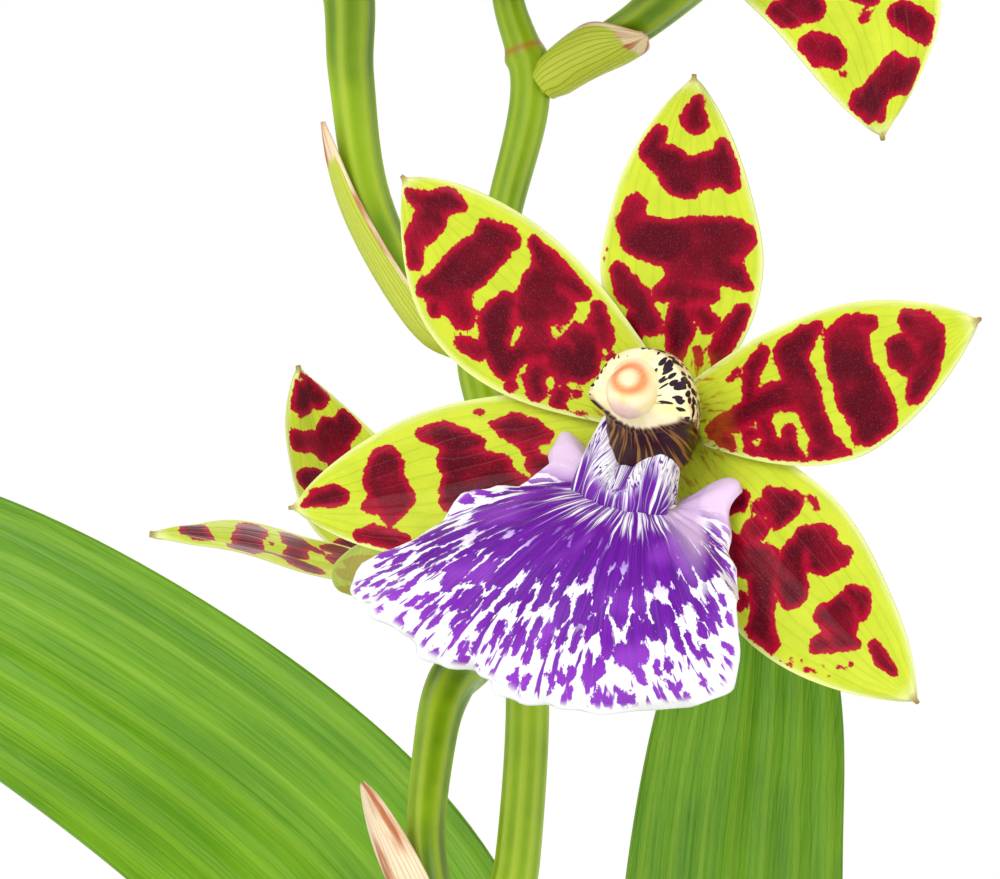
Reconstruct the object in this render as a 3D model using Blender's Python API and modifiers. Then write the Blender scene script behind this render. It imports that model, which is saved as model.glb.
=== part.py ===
# A zygopetalum orchid: four open blooms and two buds on a zigzag spike, eight pleated
# leaves on three pseudobulbs, rooted in bark in a plain round pot.
# Metres, +Z up. The origin is the middle of the pot's foot, and the main bloom faces -Y.
import math

import bmesh
import bpy
import numpy as np
from mathutils import Matrix, Vector

MM = 0.001
GAP = 0.3

# Pot and bark, in millimetres
POT_HEIGHT = 116.0
POT_TOP_RADIUS = 65.0
POT_FOOT_RADIUS = 46.0
POT_WALL = 4.0
POT_FLOOR = 6.0
RIM_HEIGHT = 15.0
RIM_PROUD = 3.0
POT_STEPS = 48
BARK_LEVEL = 104.0
BARK_RELIEF = 2.2
BARK_RINGS = 7
BARK_STEPS = 30

# Pseudobulbs: middle (x, y), widest radius, height above the hole's floor
HOLE_DEPTH = 12.0
BULBS = {
    "pseudobulb_back": ((5.0, 32.0), 15.0, 56.0),
    "pseudobulb_left": ((-25.0, 8.0), 14.0, 52.0),
    "pseudobulb_right": ((34.0, 6.0), 14.5, 54.0),
}
BULB_STEPS = 16
BULB_RINGS = 8
BULB_TIP_RADIUS = 5.0

# Blades
TEPAL_THICKNESS = 0.8
LIP_THICKNESS = 0.8
LEAF_THICKNESS = 1.0
BRACT_THICKNESS = 0.7
TEPAL_START = 3.6
SEPAL_LAYER = 0.0
PETAL_LAYER = 1.3
TEPAL_GRID = (4, 8)
LIP_GRID = (18, 6)
LEAF_GRID = (4, 15)
BRACT_GRID = (4, 5)

# Tepals: angle clockwise from the bloom's top as a viewer sees it, length, width,
# where along it is widest, the layer that it lies in, and its sideways bow
TEPALS = {
    "dorsal_sepal": (-7.5, 37.8, 17.8, 0.40, SEPAL_LAYER, 0.0),
    "petal_left": (-61.0, 39.5, 16.2, 0.50, PETAL_LAYER, -2.0),
    "petal_right": (60.0, 38.5, 16.2, 0.50, PETAL_LAYER, 2.0),
    "lateral_sepal_left": (-117.0, 43.0, 17.6, 0.46, SEPAL_LAYER, -1.4),
    "lateral_sepal_right": (120.0, 42.5, 17.6, 0.46, SEPAL_LAYER, 0.6),
}
TEPAL_BASE_SHARE = 0.42
TEPAL_HINGE = 14.0
TEPAL_CUP = 0.03
GROOVE_DEPTH = 0.45
GROOVE_HALF_WIDTH = 1.6
TIP_HALF_WIDTH = 0.35

# Lip: the neck's place in the bloom, the fan's outline (angle from its middle line,
# length along the drape), and how it arches forward and down
LIP_NECK = (-8.3, 5.0)
LIP_NECK_RADIUS = 5.0
LIP_OUTLINE = (
    (0.0, 30.0),
    (16.0, 30.2),
    (30.0, 31.8),
    (40.0, 33.6),
    (47.0, 32.4),
    (56.0, 26.5),
    (66.0, 19.5),
    (76.0, 14.5),
    (88.0, 11.5),
    (100.0, 10.5),
)
LIP_LEAN = 0.18
LIP_START_ANGLE = 12.0
LIP_END_ANGLE = 95.0
LIP_REACH = 28.0
LIP_SIDE_DROOP = 0.0135
LIP_RUFFLE = 1.1
LIP_WAVES = 5.5
LIP_EAR_LIFT = 5.0
# The claw that carries the fan, the crest across its throat and the column above it:
# points in the bloom with their radius
CLAW_POINTS = ((0.0, -5.0, 2.2, 2.1), (0.0, -6.6, 4.2, 2.6), (0.0, -8.0, 7.0, 3.2), (0.0, -9.5, 9.6, 2.2))
CREST_POINTS = (
    (-5.6, -8.6, 7.6, 1.0),
    (-4.2, -5.6, 8.2, 1.8),
    (0.0, -6.0, 8.6, 1.6),
    (4.2, -5.6, 8.2, 1.8),
    (5.6, -8.6, 7.6, 1.0),
)
COLUMN_POINTS = (
    (0.0, 0.0, -0.6, 2.9),
    (0.0, 0.3, 2.0, 2.8),
    (0.0, 1.2, 5.0, 3.2),
    (0.0, 2.4, 9.0, 3.9),
    (0.0, 2.8, 11.6, 3.7),
    (0.0, 2.7, 13.4, 2.3),
)
LIP_SHARES = {"bloom_main": 1.0, "bloom_right": 0.97, "bloom_left": 0.94, "bloom_back": 0.84}

# Blooms: middle, facing direction, roll clockwise as a viewer sees it, and each tepal's
# sweep forward from the bloom's plane, bend along its length and turn from its usual
# place, in degrees
BLOOMS = {
    "bloom_main": ((18.7, -27.0, 361.6), (-0.36, -0.93, 0.06), 14.0, {"all": (14.0, -6.0, 0.0)}),
    "bloom_right": (
        (24.5, -22.5, 421.7),
        (-0.15, -0.60, 0.79),
        29.0,
        {
            "all": (6.0, -6.0, 0.0),
            "lateral_sepal_right": (6.0, -72.0, -4.0),
        },
    ),
    "bloom_left": (
        (-26.0, 0.0, 436.0),
        (-0.20, -0.30, 0.93),
        28.0,
        {"all": (16.0, -10.0, 0.0)},
    ),
    "bloom_back": (
        (-3.6, 30.0, 340.5),
        (-0.03, -0.24, 0.97),
        -160.0,
        {
            "all": (16.0, 40.0, 0.0),
            "petal_right": (16.0, 0.0, -3.0),
            "lateral_sepal_left": (16.0, 30.0, 10.0),
            "lateral_sepal_right": (16.0, 35.0, -8.0),
        },
    ),
}

# Spike: points of the zigzag axis with their radius
SPIKE_POINTS = (
    (6.0, -6.0, 93.0, 3.2),
    (6.4, -5.0, 130.0, 3.1),
    (6.2, -3.5, 180.0, 3.0),
    (3.5, -1.5, 235.0, 2.9),
    (0.8, -0.4, 275.0, 2.8),
    (0.0, 0.0, 299.9, 2.9),
    (2.1, 0.0, 312.0, 2.6),
    (3.2, 0.0, 331.0, 2.5),
    (1.7, 0.0, 346.1, 2.6),
    (-1.2, 0.0, 362.0, 2.3),
    (-2.5, 0.0, 370.9, 2.4),
    (0.3, 0.0, 385.6, 2.1),
    (3.5, 0.0, 400.3, 2.3),
    (0.9, 0.0, 411.0, 1.8),
    (-0.6, 0.0, 424.0, 1.7),
    (0.4, 1.0, 436.0, 1.5),
    (1.2, 2.0, 446.0, 1.3),
)
# Stalks: the points between the spike and a bloom's back, with their radius
STALKS = {
    "bloom_main": ((1.7, 0.0, 345.0, 1.6), (4.5, -6.5, 347.0, 1.9), (11.0, -14.0, 353.0, 2.3)),
    "bloom_right": ((3.4, 0.0, 399.8, 1.5), (8.5, -2.5, 403.5, 1.8), (16.5, -9.0, 408.0, 2.3)),
    "bloom_left": (
        (-2.6, 0.0, 370.0, 1.6),
        (-8.5, 0.5, 375.0, 1.9),
        (-15.0, 1.0, 388.0, 2.2),
        (-17.2, 1.2, 402.0, 2.5),
        (-18.0, 1.5, 414.0, 2.9),
    ),
    "bloom_back": (
        (-0.2, 0.0, 299.0, 1.7),
        (-6.0, 2.5, 303.5, 1.9),
        (-8.6, 7.0, 313.0, 2.1),
        (-7.6, 17.0, 325.0, 2.4),
        (-6.0, 25.0, 330.5, 2.8),
    ),
}
STALK_END_RADIUS = 3.0
STALK_END_DEPTH = 1.3
STALK_END_RUN = 6.0
TUBE_RESOLUTION = 2
SPIKE_ROWS = 44
STALK_ROWS = 11
BUD_STALK_ROWS = 6

# Buds: stalk points with their radius; the bud stands on the last one
BUDS = {
    "bud_lower": (((-0.6, 0.0, 423.5, 1.1), (3.4, 1.5, 436.0, 1.3), (6.4, 3.0, 449.0, 1.6)), 17.0, 5.0),
    "bud_upper": (((1.2, 2.0, 445.0, 1.1), (-1.0, 4.0, 452.0, 1.2), (-4.2, 6.5, 460.0, 1.3)), 12.5, 3.6),
}
BUD_STEPS = 10
BUD_RINGS = 6

# Bracts: the stalk that each one wraps, length, half angle, tilt out and the side it is on
BRACTS = {
    "bract_main": ("bloom_main", 17.0, 70.0, 8.0, (0.5, -0.4, -0.8)),
    "bract_right": ("bloom_right", 20.0, 84.0, 5.0, (0.5, -0.5, -0.7)),
    "bract_left": ("bloom_left", 29.0, 46.0, 5.0, (-0.8, -0.3, -0.5)),
    "bract_back": ("bloom_back", 23.0, 80.0, 14.0, (-0.9, -0.4, -0.2)),
}
BRACT_START = 4.2

# Leaves: bulb, base offset from its axis, the points that the midrib passes, width,
# and the way its upper face looks; None lets it follow its own arch
LEAVES = {
    "leaf_left_tall": (
        "pseudobulb_back",
        (-4.5, 1.0),
        ((4.0, 56.0, 215.0), (-3.0, 72.0, 266.0), (-22.1, 82.0, 301.8), (-66.5, 90.0, 334.0),
         (-105.0, 96.0, 347.0), (-140.0, 101.0, 343.0)),
        37.0,
        (-0.25, -0.86, 0.45),
    ),
    "leaf_right_tall": (
        "pseudobulb_back",
        (4.5, -1.0),
        ((19.0, 44.0, 210.0), (27.0, 56.0, 262.0), (30.0, 64.0, 303.0), (33.0, 69.0, 332.0),
         (33.5, 73.0, 357.0)),
        34.0,
        (0.35, -0.92, 0.15),
    ),
    "leaf_back": (
        "pseudobulb_back",
        (0.5, 5.5),
        ((9.0, 78.0, 202.0), (14.0, 115.0, 232.0), (17.0, 152.0, 240.0), (18.0, 186.0, 226.0)),
        36.0,
        None,
    ),
    "leaf_left_low": (
        "pseudobulb_left",
        (-4.5, -2.0),
        ((-50.0, -8.0, 196.0), (-86.0, -18.0, 226.0), (-125.0, -28.0, 232.0), (-160.0, -36.0, 214.0)),
        35.0,
        None,
    ),
    "leaf_left_back": (
        "pseudobulb_left",
        (1.0, 4.8),
        ((-42.0, 34.0, 206.0), (-68.0, 56.0, 248.0), (-100.0, 80.0, 268.0), (-134.0, 102.0, 262.0)),
        34.0,
        None,
    ),
    "leaf_right_low": (
        "pseudobulb_right",
        (5.0, -1.0),
        ((64.0, -5.0, 194.0), (101.0, -14.0, 224.0), (139.0, -24.0, 230.0), (172.0, -33.0, 212.0)),
        35.0,
        None,
    ),
    "leaf_right_back": (
        "pseudobulb_right",
        (0.5, 5.0),
        ((47.0, 40.0, 200.0), (70.0, 70.0, 238.0), (95.0, 101.0, 252.0), (118.0, 128.0, 242.0)),
        34.0,
        None,
    ),
    "leaf_front": (
        "pseudobulb_right",
        (-3.6, -3.2),
        ((27.0, -34.0, 190.0), (30.0, -70.0, 214.0), (34.0, -108.0, 218.0), (37.0, -140.0, 200.0)),
        33.0,
        None,
    ),
}
LEAF_BASE_SHARE = 0.24
LEAF_CHANNEL = 0.16
LEAF_WAVE = 1.0


def clear_scene():
    for item in list(bpy.data.objects):
        bpy.data.objects.remove(item, do_unlink=True)


def new_collection(name):
    collection = bpy.data.collections.new(name)
    bpy.context.scene.collection.children.link(collection)
    return collection


def new_material(name, color, roughness):
    material = bpy.data.materials.new(name)
    material.use_nodes = True
    shader = material.node_tree.nodes["Principled BSDF"]
    shader.inputs["Base Color"].default_value = (*color, 1.0)
    shader.inputs["Roughness"].default_value = roughness
    shader.inputs["Metallic"].default_value = 0.0
    return material


def smoothstep(low, high, value):
    share = np.clip((value - low) / (high - low), 0.0, 1.0)
    return share * share * (3.0 - 2.0 * share)


def unit(vectors):
    return vectors / np.linalg.norm(vectors, axis=-1, keepdims=True)


def spline(points, count):
    # Catmull-Rom curve through the points, with its ends held by doubled end points
    knots = np.array([points[0], *points, points[-1]], float)
    knots[0] = 2.0 * knots[1] - knots[2]
    knots[-1] = 2.0 * knots[-2] - knots[-3]
    spans = len(points) - 1
    place = np.linspace(0.0, spans, count)
    index = np.minimum(place.astype(int), spans - 1)
    share = (place - index)[:, None]
    p0, p1, p2, p3 = (knots[index + k] for k in range(4))
    return 0.5 * (
        2.0 * p1
        + (p2 - p0) * share
        + (2.0 * p0 - 5.0 * p1 + 4.0 * p2 - p3) * share**2
        + (3.0 * p1 - p0 - 3.0 * p2 + p3) * share**3
    )


def sample(curve, share):
    # A curve given by even rows, read at shares of its length
    place = np.clip(share, 0.0, 1.0) * (len(curve) - 1)
    rows = np.arange(len(curve))
    return np.stack([np.interp(place, rows, curve[:, k]) for k in range(curve.shape[1])], axis=-1)


def half_width(u, width, widest, base_share):
    # A quarter sine from the base to the widest place, then a rounded taper to the tip
    rise = base_share + (1.0 - base_share) * np.sin(0.5 * math.pi * np.minimum(u / widest, 1.0))
    past = np.clip((u - widest) / (1.0 - widest), 0.0, 1.0)
    taper = (1.0 - past**2) ** 0.77
    return np.maximum(0.5 * width * np.where(u < widest, rise, taper), TIP_HALF_WIDTH)


def tepal_slope(rho, length, sweep, bend):
    # Distance out, height and slope of a line from the bloom's middle: straight at the
    # sweep as far as the hinge, then turning evenly by the bend up to the tip
    slope = math.radians(sweep)
    turn = math.radians(bend if abs(bend) > 0.01 else 0.01)
    near = np.minimum(rho, TEPAL_HINGE) - TEPAL_START
    angle = slope + turn * np.maximum(rho - TEPAL_HINGE, 0.0) / (length - TEPAL_HINGE)
    arc = (length - TEPAL_HINGE) / turn
    out = TEPAL_START + near * math.cos(slope) + (np.sin(angle) - math.sin(slope)) * arc
    height = near * math.sin(slope) + (math.cos(slope) - np.cos(angle)) * arc
    return out, height, angle


def tepal_surface(spec, sweep, bend, shift):
    # A blade on a cone about the bloom's facing, so that the two layers never cross
    heading, length, width, widest, layer, bow = spec

    def surface(u, v):
        side = v * half_width(u, width, widest, TEPAL_BASE_SHARE)
        across = side + bow * np.sin(math.pi * u)
        along = TEPAL_START + u * (length - TEPAL_START)
        rho = np.hypot(along, across)
        out, height, slope = tepal_slope(rho, length, sweep, bend)
        turn = math.radians(heading + shift) + np.arctan2(across, along) * rho / out
        groove = GROOVE_DEPTH * smoothstep(0.3, 0.5, u) * np.exp(-((side / GROOVE_HALF_WIDTH) ** 2))
        cup = TEPAL_CUP * smoothstep(0.4, 0.8, u) * side**2 - groove
        far = out - cup * np.sin(slope)
        high = layer + height + cup * np.cos(slope)
        return np.stack([far * np.sin(turn), far * np.cos(turn), high], axis=-1)

    return surface


def lip_outline(angle):
    # Length of the fan at an angle, smooth through the outline's points
    marks = np.array(LIP_OUTLINE)
    mirrored = np.vstack([marks[:0:-1] * (-1.0, 1.0), marks])
    curve = spline([tuple(row) for row in mirrored], 240)
    return np.interp(angle, curve[:, 0], curve[:, 1])


def lip_surface(u, v):
    # A fan about the neck, carried along a line that arches forward and down,
    # with its sides hanging back, its rim ruffled and its two ears lifted
    widest_angle = LIP_OUTLINE[-1][0]
    angle = v * widest_angle
    reach = LIP_NECK_RADIUS + u * (lip_outline(angle) - LIP_NECK_RADIUS)
    across = reach * np.sin(np.radians(angle))
    along = reach * np.cos(np.radians(angle))
    start = math.radians(LIP_START_ANGLE)
    turn = math.radians(LIP_END_ANGLE - LIP_START_ANGLE) / LIP_REACH
    fall = start + turn * np.maximum(along, 0.0)
    down = (math.cos(start) - np.cos(fall)) / turn + math.sin(start) * np.minimum(along, 0.0)
    forward = (np.sin(fall) - math.sin(start)) / turn + math.cos(start) * np.minimum(along, 0.0)
    ears = LIP_EAR_LIFT * smoothstep(0.74, 1.0, np.abs(v)) * smoothstep(-0.2, 0.9, u)
    front = 1.0 - smoothstep(0.7, 0.85, np.abs(v))
    ruffle = LIP_RUFFLE * u**3 * np.sin(v * LIP_WAVES * math.pi) * front
    rise = ruffle + ears - LIP_SIDE_DROOP * across**2
    y = LIP_NECK[0] - down + rise * np.cos(fall)
    z = LIP_NECK[1] + forward + rise * np.sin(fall)
    return np.stack([across - LIP_LEAN * np.maximum(down, 0.0), y, z], axis=-1)


def leaf_surface(curve, width, face):
    tangent = unit(np.gradient(curve, axis=0))
    if face is None:
        normal = np.cross(tangent, np.cross([0.0, 0.0, 1.0], tangent))
    else:
        normal = np.broadcast_to(np.array(face, float), tangent.shape)
    side = unit(np.cross(tangent, normal))
    upper = unit(np.cross(side, tangent))

    def surface(u, v):
        half = half_width(u, width, 0.52, LEAF_BASE_SHARE)
        middle = sample(curve, u)
        across = (v * half)[..., None] * sample(side, u)
        folded = LEAF_CHANNEL + 0.75 * (1.0 - smoothstep(0.0, 0.35, u))
        wave = LEAF_WAVE * v**2 * np.sin(u * 5.0 * math.pi + 1.5 * v) * smoothstep(0.2, 0.5, u)
        rise = folded * half * np.abs(v) ** 1.4 + wave
        return middle + across + rise[..., None] * sample(upper, u)

    return surface


def bract_surface(rows, length, half_angle, tilt, outward):
    # A pointed sheath round one side of a stalk, leaning away from it towards its tip
    curve = rows[:, :3]
    total = np.linalg.norm(np.diff(curve, axis=0), axis=1).sum()
    tangent = unit(np.gradient(curve, axis=0))
    outer = unit(np.cross(np.cross(tangent, outward), tangent))
    side = unit(np.cross(tangent, outer))

    def surface(u, v):
        share = (BRACT_START + u * length) / total
        around = v * math.radians(half_angle) * np.maximum((1.0 - u**2.2) ** 0.7, 0.09)
        seat = sample(rows[:, 3:], share)[..., 0] + GAP + 0.5 * BRACT_THICKNESS + 0.15
        away = seat + length * math.tan(math.radians(tilt)) * u**2
        out = np.cos(around)[..., None] * sample(outer, share)
        turn = np.sin(around)[..., None] * sample(side, share)
        return sample(curve, share) + away[..., None] * (out + turn)

    return surface


def blade(name, surface, grid, thickness, material, collection):
    # A grid laid on a surface of two parameters, split into triangles, then thickened
    mesh = bpy.data.meshes.new(name)
    bm = bmesh.new()
    bmesh.ops.create_grid(bm, x_segments=grid[0], y_segments=grid[1], size=1.0)
    flat = np.array([vert.co for vert in bm.verts])
    placed = surface(0.5 * (flat[:, 1] + 1.0), flat[:, 0]) * MM
    for vert, place in zip(bm.verts, placed):
        vert.co = place
    bmesh.ops.triangulate(bm, faces=bm.faces[:], quad_method="ALTERNATE")
    bm.to_mesh(mesh)
    bm.free()
    mesh.materials.append(material)
    item = bpy.data.objects.new(name, mesh)
    collection.objects.link(item)
    solid = item.modifiers.new("Thickness", "SOLIDIFY")
    solid.thickness = thickness * MM
    solid.offset = 0.0
    return item


def turned(name, profile, steps, material, collection):
    # A profile of (radius, height) turned round the Z axis
    mesh = bpy.data.meshes.new(name)
    points = [(radius * MM, 0.0, height * MM) for radius, height in profile]
    mesh.from_pydata(points, [(k, k + 1) for k in range(len(points) - 1)], [])
    mesh.materials.append(material)
    item = bpy.data.objects.new(name, mesh)
    collection.objects.link(item)
    screw = item.modifiers.new("Turn", "SCREW")
    screw.steps = steps
    screw.render_steps = steps
    screw.use_merge_vertices = True
    screw.merge_threshold = 0.00001
    screw.use_smooth_shade = True
    return item


def settle(item):
    # The object's modifiers become its mesh
    bpy.context.view_layer.update()
    shaped = item.evaluated_get(bpy.context.evaluated_depsgraph_get())
    mesh = bpy.data.meshes.new_from_object(shaped)
    item.modifiers.clear()
    item.data = mesh
    return item


def tube(name, rows, material, collection):
    # A round tube along rows of (x, y, z, radius) with closed ends, as a mesh
    curve = bpy.data.curves.new(name, "CURVE")
    curve.dimensions = "3D"
    curve.bevel_depth = MM
    curve.bevel_resolution = TUBE_RESOLUTION
    curve.use_fill_caps = True
    line = curve.splines.new("POLY")
    line.points.add(len(rows) - 1)
    for point, row in zip(line.points, rows):
        point.co = (row[0] * MM, row[1] * MM, row[2] * MM, 1.0)
        point.radius = row[3]
    curved = bpy.data.objects.new(name, curve)
    collection.objects.link(curved)
    bpy.context.view_layer.update()
    shaped = curved.evaluated_get(bpy.context.evaluated_depsgraph_get())
    mesh = bpy.data.meshes.new_from_object(shaped)
    place = curved.matrix_world.copy()
    bpy.data.objects.remove(curved)
    bm = bmesh.new()
    bm.from_mesh(mesh)
    bmesh.ops.remove_doubles(bm, verts=bm.verts, dist=0.00001)
    bmesh.ops.recalc_face_normals(bm, faces=bm.faces)
    bm.to_mesh(mesh)
    bm.free()
    mesh.materials.clear()
    mesh.materials.append(material)
    item = bpy.data.objects.new(name, mesh)
    item.matrix_world = place
    collection.objects.link(item)
    return item


def combine(item, others, operation):
    for other in others:
        boolean = item.modifiers.new(operation.title(), "BOOLEAN")
        boolean.operation = operation
        boolean.solver = "EXACT"
        boolean.object = other
    settle(item)
    for other in others:
        bpy.data.objects.remove(other)
    return item


def smooth(item):
    item.data.shade_smooth()
    item.data.set_sharp_from_angle(angle=math.radians(40.0))
    return item


def bloom_matrix(name):
    # The bloom's own axes: its right hand as a viewer sees it, its top and its facing
    middle, facing, roll, _ = BLOOMS[name]
    front = Vector(facing).normalized()
    right = Vector((0.0, 0.0, 1.0)).cross(front).normalized()
    top = front.cross(right)
    axes = Matrix((right, top, front)).transposed()
    turn = Matrix.Rotation(-math.radians(roll), 3, "Z")
    return Matrix.Translation(Vector(middle) * MM) @ (axes @ turn).to_4x4()


def stalk_rows(name):
    # The stalk's points, ending square on the back of its bloom
    matrix = bloom_matrix(name)
    depths = (STALK_END_DEPTH + STALK_END_RUN, STALK_END_DEPTH + 0.4 * STALK_END_RUN, STALK_END_DEPTH)
    ends = [(*(matrix @ Vector((0.0, 0.0, -depth * MM)) / MM), STALK_END_RADIUS) for depth in depths]
    return np.vstack([spline([*STALKS[name], *ends[:2]], STALK_ROWS), ends[2]])


def make_pot(collection, materials):
    rim_foot = POT_HEIGHT - RIM_HEIGHT
    under_rim = POT_TOP_RADIUS - RIM_PROUD
    profile = (
        (0.0, POT_FLOOR),
        (POT_FOOT_RADIUS - POT_WALL, POT_FLOOR),
        (under_rim - POT_WALL, rim_foot),
        (POT_TOP_RADIUS - POT_WALL - 1.0, POT_HEIGHT - 1.0),
        (POT_TOP_RADIUS - POT_WALL, POT_HEIGHT),
        (POT_TOP_RADIUS - 1.0, POT_HEIGHT),
        (POT_TOP_RADIUS, POT_HEIGHT - 1.0),
        (POT_TOP_RADIUS - 0.8, rim_foot),
        (under_rim, rim_foot - 1.0),
        (POT_FOOT_RADIUS + 1.0, 1.0),
        (POT_FOOT_RADIUS, 0.0),
        (0.0, 0.0),
    )
    return smooth(settle(turned("pot", profile, POT_STEPS, materials["pot"], collection)))


def bark_height(x, y):
    # Two low crossing waves, in millimetres
    first = np.sin(0.31 * x + 1.3) * np.cos(0.27 * y - 0.4)
    second = np.sin(0.21 * y - 0.33 * x + 2.1)
    return BARK_RELIEF * (0.6 * first + 0.4 * second)


def make_bark(collection, materials):
    slope = (POT_TOP_RADIUS - RIM_PROUD - POT_FOOT_RADIUS) / (POT_HEIGHT - RIM_HEIGHT - POT_FLOOR)
    foot = POT_FOOT_RADIUS - POT_WALL - 2.0 * GAP
    shoulder = foot + slope * (BARK_LEVEL - 4.0 - POT_FLOOR)
    rings = [(shoulder * k / BARK_RINGS, BARK_LEVEL) for k in range(BARK_RINGS)]
    profile = [
        *rings,
        (shoulder - 1.0, BARK_LEVEL - 1.0),
        (shoulder, BARK_LEVEL - 4.0),
        (foot, POT_FLOOR + GAP),
        (0.0, POT_FLOOR + GAP),
    ]
    bark = settle(turned("bark_mix", profile, BARK_STEPS, materials["bark"], collection))
    for vert in bark.data.vertices:
        if vert.co.z > (BARK_LEVEL - 0.5) * MM:
            vert.co.z += float(bark_height(vert.co.x / MM, vert.co.y / MM)) * MM
    holes = [(middle, 0.93 * radius) for middle, radius, _ in BULBS.values()]
    holes.append((SPIKE_POINTS[0][:2], SPIKE_POINTS[0][3] + 0.2))
    cutters = []
    for middle, radius in holes:
        bpy.ops.mesh.primitive_cylinder_add(
            vertices=24,
            radius=(radius + 2.0 * GAP) * MM,
            depth=2.0 * HOLE_DEPTH * MM,
            location=(middle[0] * MM, middle[1] * MM, BARK_LEVEL * MM),
        )
        cutters.append(bpy.context.active_object)
    return combine(bark, cutters, "DIFFERENCE")


def bulb_profile(radius, height):
    # An egg with a flat top, from its top down its side to its foot
    foot_share = 0.55
    rows = [(0.0, height), (BULB_TIP_RADIUS, height)]
    for k in range(1, BULB_RINGS):
        share = k / BULB_RINGS
        swell = math.sin(math.pi * (0.14 + 0.66 * share)) ** 0.9
        rows.append((radius * swell, height * (1.0 - share)))
    rows.extend([(radius * foot_share, 0.6), (0.0, 0.0)])
    return rows


def bulb_foot():
    return BARK_LEVEL - HOLE_DEPTH + GAP


def make_bulbs(collection, materials):
    for name, (middle, radius, height) in BULBS.items():
        profile = bulb_profile(radius, height)
        bulb = settle(turned(name, profile, BULB_STEPS, materials["pseudobulb"], collection))
        bulb.location = (middle[0] * MM, middle[1] * MM, bulb_foot() * MM)
        smooth(bulb)


def make_spike(collection, materials):
    material = materials["stem"]
    spike = tube("spike_stem", spline(SPIKE_POINTS, SPIKE_ROWS), material, collection)
    branches = [tube(name, stalk_rows(name), material, collection) for name in BLOOMS]
    for name, (rows, _, _) in BUDS.items():
        branches.append(tube(name, spline(rows, BUD_STALK_ROWS), material, collection))
    return smooth(combine(spike, branches, "UNION"))


def make_buds(collection, materials):
    for name, (rows, length, radius) in BUDS.items():
        profile = [(0.0, length)]
        for k in range(1, BUD_RINGS):
            share = k / BUD_RINGS
            profile.append((radius * math.sin(math.pi * share) ** 0.7, length * (1.0 - share)))
        profile.extend([(1.2, 0.2), (0.0, 0.0)])
        bud = settle(turned(name, profile, BUD_STEPS, materials["bud"], collection))
        start, end = Vector(rows[-2][:3]), Vector(rows[-1][:3])
        heading = (end - start).normalized()
        bud.rotation_euler = heading.to_track_quat("Z", "Y").to_euler()
        bud.location = (end + heading * 2.0 * GAP) * MM
        smooth(bud)


def make_bracts(collection, materials):
    for name, (bloom, length, half_angle, tilt, outward) in BRACTS.items():
        surface = bract_surface(stalk_rows(bloom), length, half_angle, tilt, outward)
        blade(name, surface, BRACT_GRID, BRACT_THICKNESS, materials["bract"], collection)


def make_leaves(collection, materials):
    for name, (bulb, offset, points, width, face) in LEAVES.items():
        middle, _, height = BULBS[bulb]
        foot = (middle[0] + offset[0], middle[1] + offset[1], bulb_foot() + height + 1.0)
        curve = spline([foot, *points], 40)
        surface = leaf_surface(curve, width, face)
        blade(name, surface, LEAF_GRID, LEAF_THICKNESS, materials["leaf"], collection)


def make_column(collection, materials):
    rows = spline(COLUMN_POINTS, 9)
    return smooth(tube("column_shape", rows, materials["column"], collection))


def make_lip(collection, materials):
    lip = blade("lip_shape", lip_surface, LIP_GRID, LIP_THICKNESS, materials["lip"], collection)
    settle(lip)
    claw = tube("claw", spline(CLAW_POINTS, 6), materials["lip"], collection)
    crest = tube("crest", spline(CREST_POINTS, 11), materials["lip"], collection)
    return combine(lip, [claw, crest], "UNION")


def make_blooms(collection, materials):
    lip_shape = make_lip(collection, materials)
    column_shape = make_column(collection, materials)
    for bloom, (_, _, _, slopes) in BLOOMS.items():
        centre = bpy.data.objects.new(bloom, None)
        centre.empty_display_size = 0.01
        collection.objects.link(centre)
        centre.matrix_world = bloom_matrix(bloom)
        for kind, spec in TEPALS.items():
            surface = tepal_surface(spec, *slopes.get(kind, slopes["all"]))
            name = f"{bloom}_{kind}"
            item = blade(name, surface, TEPAL_GRID, TEPAL_THICKNESS, materials["tepal"], collection)
            item.parent = centre
        for kind, shape in (("lip", lip_shape), ("column", column_shape)):
            item = bpy.data.objects.new(f"{bloom}_{kind}", shape.data)
            collection.objects.link(item)
            item.parent = centre
            if kind == "lip":
                item.scale = [LIP_SHARES[bloom]] * 3
    bpy.data.objects.remove(lip_shape)
    bpy.data.objects.remove(column_shape)


def main():
    clear_scene()
    plant = new_collection("zygopetalum_orchid")
    materials = {
        "tepal": new_material("tepal", (0.62, 0.70, 0.12), 0.45),
        "lip": new_material("lip", (0.30, 0.06, 0.55), 0.5),
        "column": new_material("column", (0.90, 0.78, 0.48), 0.45),
        "stem": new_material("stem", (0.27, 0.42, 0.05), 0.4),
        "bract": new_material("bract", (0.50, 0.55, 0.12), 0.55),
        "bud": new_material("bud", (0.36, 0.50, 0.10), 0.45),
        "leaf": new_material("leaf", (0.14, 0.32, 0.03), 0.4),
        "pseudobulb": new_material("pseudobulb", (0.22, 0.36, 0.06), 0.45),
        "bark": new_material("bark", (0.20, 0.10, 0.05), 0.9),
        "pot": new_material("pot", (0.82, 0.80, 0.76), 0.5),
    }
    make_pot(plant, materials)
    make_bark(plant, materials)
    make_bulbs(plant, materials)
    make_spike(plant, materials)
    make_bracts(plant, materials)
    make_buds(plant, materials)
    make_leaves(plant, materials)
    make_blooms(plant, materials)


main()
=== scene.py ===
# Looks for a potted zygopetalum orchid. Every piece stands for one solid of the packed
# model, finer, in the same place. Lengths are in millimetres until a mesh is made.
import math

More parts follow.
